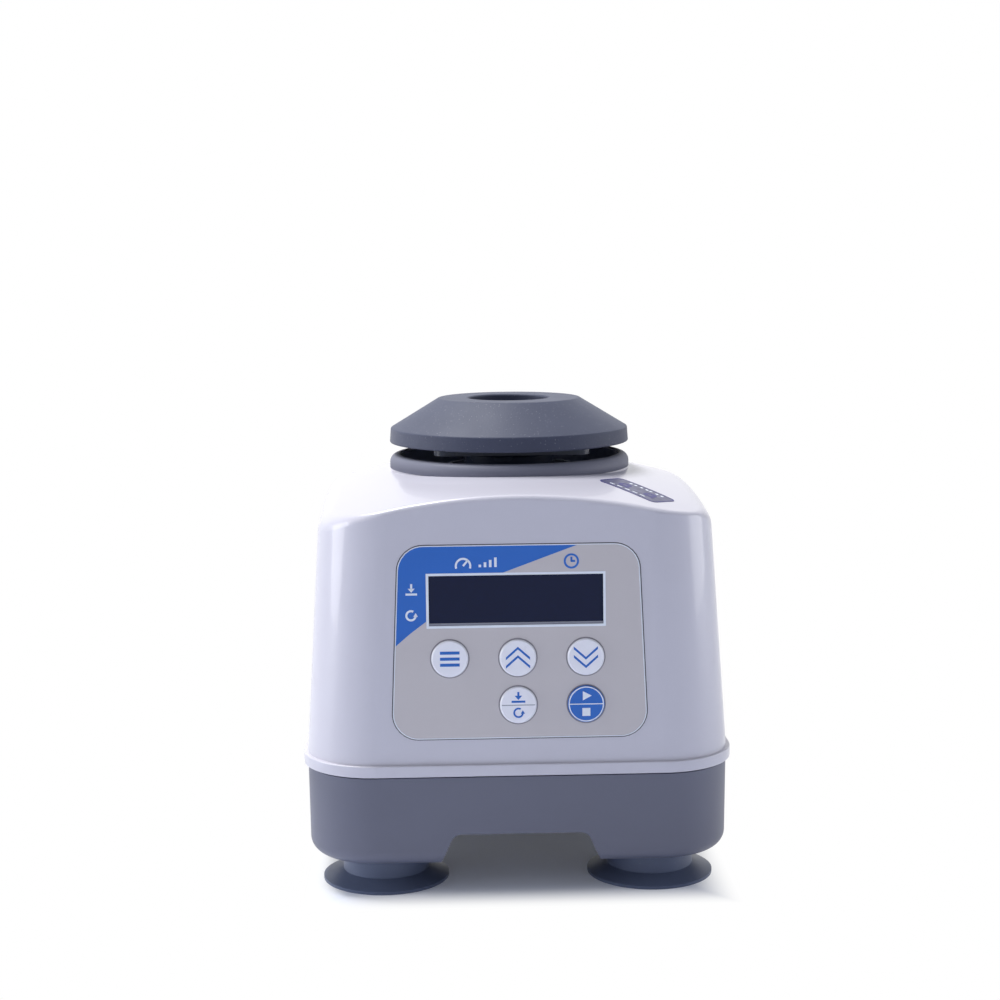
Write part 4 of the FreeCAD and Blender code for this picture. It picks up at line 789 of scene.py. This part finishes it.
class MIXER_OT_keys(bpy.types.Operator):
    """Finish the keys and print their marks"""

    bl_idname = "mixer.keys"
    bl_label = "Keys"

    def execute(self, context):
        paint, size = colours(), sizes()
        white = finish("Key plastic", paint.key, 0.97, (0.25, 0.32), 40.0, 3000.0, 0.03, coat=0.2)
        blue = finish("Start key plastic", paint.print_blue, 0.94, (0.28, 0.36), 40.0, 3000.0, 0.03)
        grey = finish("Divider ink", (0.28, 0.30, 0.36), 0.95, (0.4, 0.5))
        stroke = size.mark_stroke / MM
        for key in KEYS:
            dress(key, blue if key == "key_start" else white)

        x, y = KEYS["key_menu"]
        bars = [bar(x - 3.4, y + up, x + 3.4, y + up, 1.05) for up in (-2.1, 0.0, 2.1)]
        printed("menu_mark", bars, KEY_FACE, blue_ink(), "key_menu")
        x, y = KEYS["key_up"]
        marks = [chevron(x, y - 0.25, 4.2, 3.7, stroke), chevron(x, y - 3.2, 4.2, 3.7, stroke)]
        printed("up_mark", marks, KEY_FACE, blue_ink(), "key_up")
        x, y = KEYS["key_down"]
        marks = [chevron(x, y + 0.25, 4.2, -3.7, stroke), chevron(x, y + 3.2, 4.2, -3.7, stroke)]
        printed("down_mark", marks, KEY_FACE, blue_ink(), "key_down")

        x, y = KEYS["key_touch"]
        press = [bar(x, y + 4.6, x, y + 3.2, stroke), bar(x - 2.4, y + 1.2, x + 2.4, y + 1.2, stroke)]
        press += [[Vector((x - 1.3, y + 3.3)), Vector((x, y + 1.8)), Vector((x + 1.3, y + 3.3))]]
        again = [ring(x, y - 2.7, 1.5, stroke * 0.85, 60, 360)]
        again += [[Vector((x + 0.75, y - 3.0)), Vector((x + 2.25, y - 3.0)), Vector((x + 1.5, y - 1.8))]]
        printed("touch_marks", press + again, KEY_FACE, blue_ink(), "key_touch")
        line = [bar(x - 5.8, y, x + 5.8, y, 0.28)]
        printed("touch_divider", line, KEY_FACE, grey, "key_touch")

        x, y = KEYS["key_start"]
        play = [Vector((x - 1.2, y + 1.3)), Vector((x + 1.9, y + 2.9)), Vector((x - 1.2, y + 4.5))]
        square = ((-1.4, -4.2), (1.4, -4.2), (1.4, -1.4), (-1.4, -1.4))
        stop = [Vector((x + across, y + up)) for across, up in square]
        rim = [ring(x, y, 5.95, 0.38), bar(x - 5.8, y, x + 5.8, y, 0.34)]
        printed("start_marks", [play, stop] + rim, KEY_FACE, light_ink(), "key_start")
        return {"FINISHED"}


class MIXER_OT_label(bpy.types.Operator):
    """Lay the silver label on the top and print it with plain marks"""

    bl_idname = "mixer.label"
    bl_label = "Top label"

    def execute(self, context):
        size = sizes()
        long_half, wide_half = LABEL_HALF
        outline = round_outline(
            [(-long_half, -wide_half), (long_half, -wide_half), (long_half, wide_half),
             (-long_half, wide_half)], LABEL_CORNER, LABEL_STEP,
        )
        thick = size.label_thickness / MM
        piece = label_plate("top_label", outline, thick)
        piece.data.materials.append(finish(
            "Silver film", colours().label, 0.45, (0.30, 0.42), 330.0, 2500.0, 0.1, metallic=0.2
        ))
        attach(piece, "housing")

        dark = finish("Label ink", colours().label_print, 0.9, (0.35, 0.45))
        marks = [outline_ring(outline, 0.6)]
        for x in (-5.2, 6.4):
            marks.append(ring(x, -0.3, 1.65, 1.5))
            marks.append(bar(x + 1.2, -1.7, x + 3.2, -2.5, 1.2))
        printed("label_marks", marks, thick, dark, "housing", place=on_top)
        light = [bar(x, 3.9, x + 1.1, 3.9, 1.0) for x in (-6.5, -4.4, -1.6, 0.9, 2.6, 5.4, 7.8)]
        light += [bar(x, -4.2, x + 2.2, -4.2, 0.6) for x in (-9.0, -5.5, -2.0, 1.5, 5.0)]
        printed("label_lines", light, thick, light_ink(), "housing", place=on_top)
        return {"FINISHED"}


class MIXER_OT_rear(bpy.types.Operator):
    """Finish the rear panel, its socket and its rocker switch"""

    bl_idname = "mixer.rear"
    bl_label = "Rear panel"

    def execute(self, context):
        black = finish("Black plastic", (0.022, 0.022, 0.025), 0.88, (0.42, 0.52), 40.0, 2200.0, 0.15)
        for node in ("rear_panel", "power_jack", "power_switch"):
            dress(node, black)
        dress("power_rocker", finish("Rocker plastic", (0.014, 0.014, 0.016), 0.9, (0.22, 0.3), bump=0.02))
        return {"FINISHED"}


class MIXER_OT_inside(bpy.types.Operator):
    """Finish the drive, the boards and the fasteners"""

    bl_idname = "mixer.inside"
    bl_label = "Inner pieces"

    def execute(self, context):
        # Each slot's material name, colour, shade, range of roughness and metallic share
        looks = {
            "steel": ("Turned steel", (0.52, 0.52, 0.54), 0.85, (0.25, 0.38), 1.0),
            "zinc_steel": ("Zinc plate", (0.50, 0.50, 0.46), 0.85, (0.3, 0.45), 1.0),
            "aluminium": ("Milled aluminium", (0.68, 0.69, 0.70), 0.88, (0.3, 0.42), 1.0),
            "brass": ("Turned brass", (0.66, 0.48, 0.20), 0.85, (0.25, 0.38), 1.0),
            "winding_copper": ("Windings", (0.50, 0.20, 0.08), 0.7, (0.3, 0.45), 0.8),
            "magnet_dark": ("Magnet coat", (0.08, 0.08, 0.085), 0.85, (0.4, 0.5), 0.3),
            "circuit_board": ("Board laminate", (0.02, 0.12, 0.05), 0.8, (0.3, 0.4), 0.0),
            "black_plastic": ("Black plastic", (0.022, 0.022, 0.025), 0.88, (0.42, 0.52), 0.0),
            "white_plastic": ("Bush plastic", (0.70, 0.69, 0.65), 0.94, (0.45, 0.55), 0.0),
            "black_rubber": ("Plain rubber", (0.025, 0.025, 0.027), 0.85, (0.6, 0.7), 0.0),
            "spring_elastomer": ("Elastomer", (0.40, 0.12, 0.03), 0.85, (0.4, 0.5), 0.0),
            "wire_cover": ("Wire cover", (0.03, 0.03, 0.03), 0.85, (0.5, 0.6), 0.0),
        }
        slots = {row["node"]: row["material_slot"] for row in frame["record"]["subparts"]}
        dressed = {
            "upper_housing", "lower_housing", "seam_gasket", "suction_cups", "rubber_head", "head_carrier",
            "panel_overlay", "display_lens", "display_digits", "rear_panel", "power_jack", "power_switch",
            "power_rocker", *KEYS,
        }
        for node in NODES:
            if node in dressed:
                continue
            name, base, shade, gloss, metallic = looks[slots[node]]
            dress(node, finish(name, base, shade, gloss, 90.0, 2500.0, 0.08, metallic=metallic))
        return {"FINISHED"}


class MIXER_PT_panel(bpy.types.Panel):
    """Lists the pieces of the mixer"""

    bl_label = "Mixer"
    bl_idname = "MIXER_PT_panel"
    bl_space_type = "VIEW_3D"
    bl_region_type = "UI"
    bl_category = "Mixer"

    def draw(self, context):
        for step in STEPS:
            self.layout.operator(step.bl_idname)
        for group in (context.scene.mixer_colours, context.scene.mixer_sizes):
            box = self.layout.box()
            for name in group.__annotations__:
                box.prop(group, name)


STEPS = (
    MIXER_OT_stage,
    MIXER_OT_housing,
    MIXER_OT_head,
    MIXER_OT_panel,
    MIXER_OT_keys,
    MIXER_OT_label,
    MIXER_OT_rear,
    MIXER_OT_inside,
)
CLASSES = (MIXER_PG_colours, MIXER_PG_sizes, *STEPS, MIXER_PT_panel)


def register():
    for item in CLASSES:
        bpy.utils.register_class(item)
    bpy.types.Scene.mixer_colours = PointerProperty(type=MIXER_PG_colours)
    bpy.types.Scene.mixer_sizes = PointerProperty(type=MIXER_PG_sizes)


def unregister():
    del bpy.types.Scene.mixer_sizes
    del bpy.types.Scene.mixer_colours
    for item in reversed(CLASSES):
        bpy.utils.unregister_class(item)


def main():
    register()
    bpy.ops.mixer.stage()
    bpy.ops.mixer.housing()
    bpy.ops.mixer.head()
    bpy.ops.mixer.panel()
    bpy.ops.mixer.keys()
    bpy.ops.mixer.label()
    bpy.ops.mixer.rear()
    bpy.ops.mixer.inside()


if __name__ == "__main__":
    main()
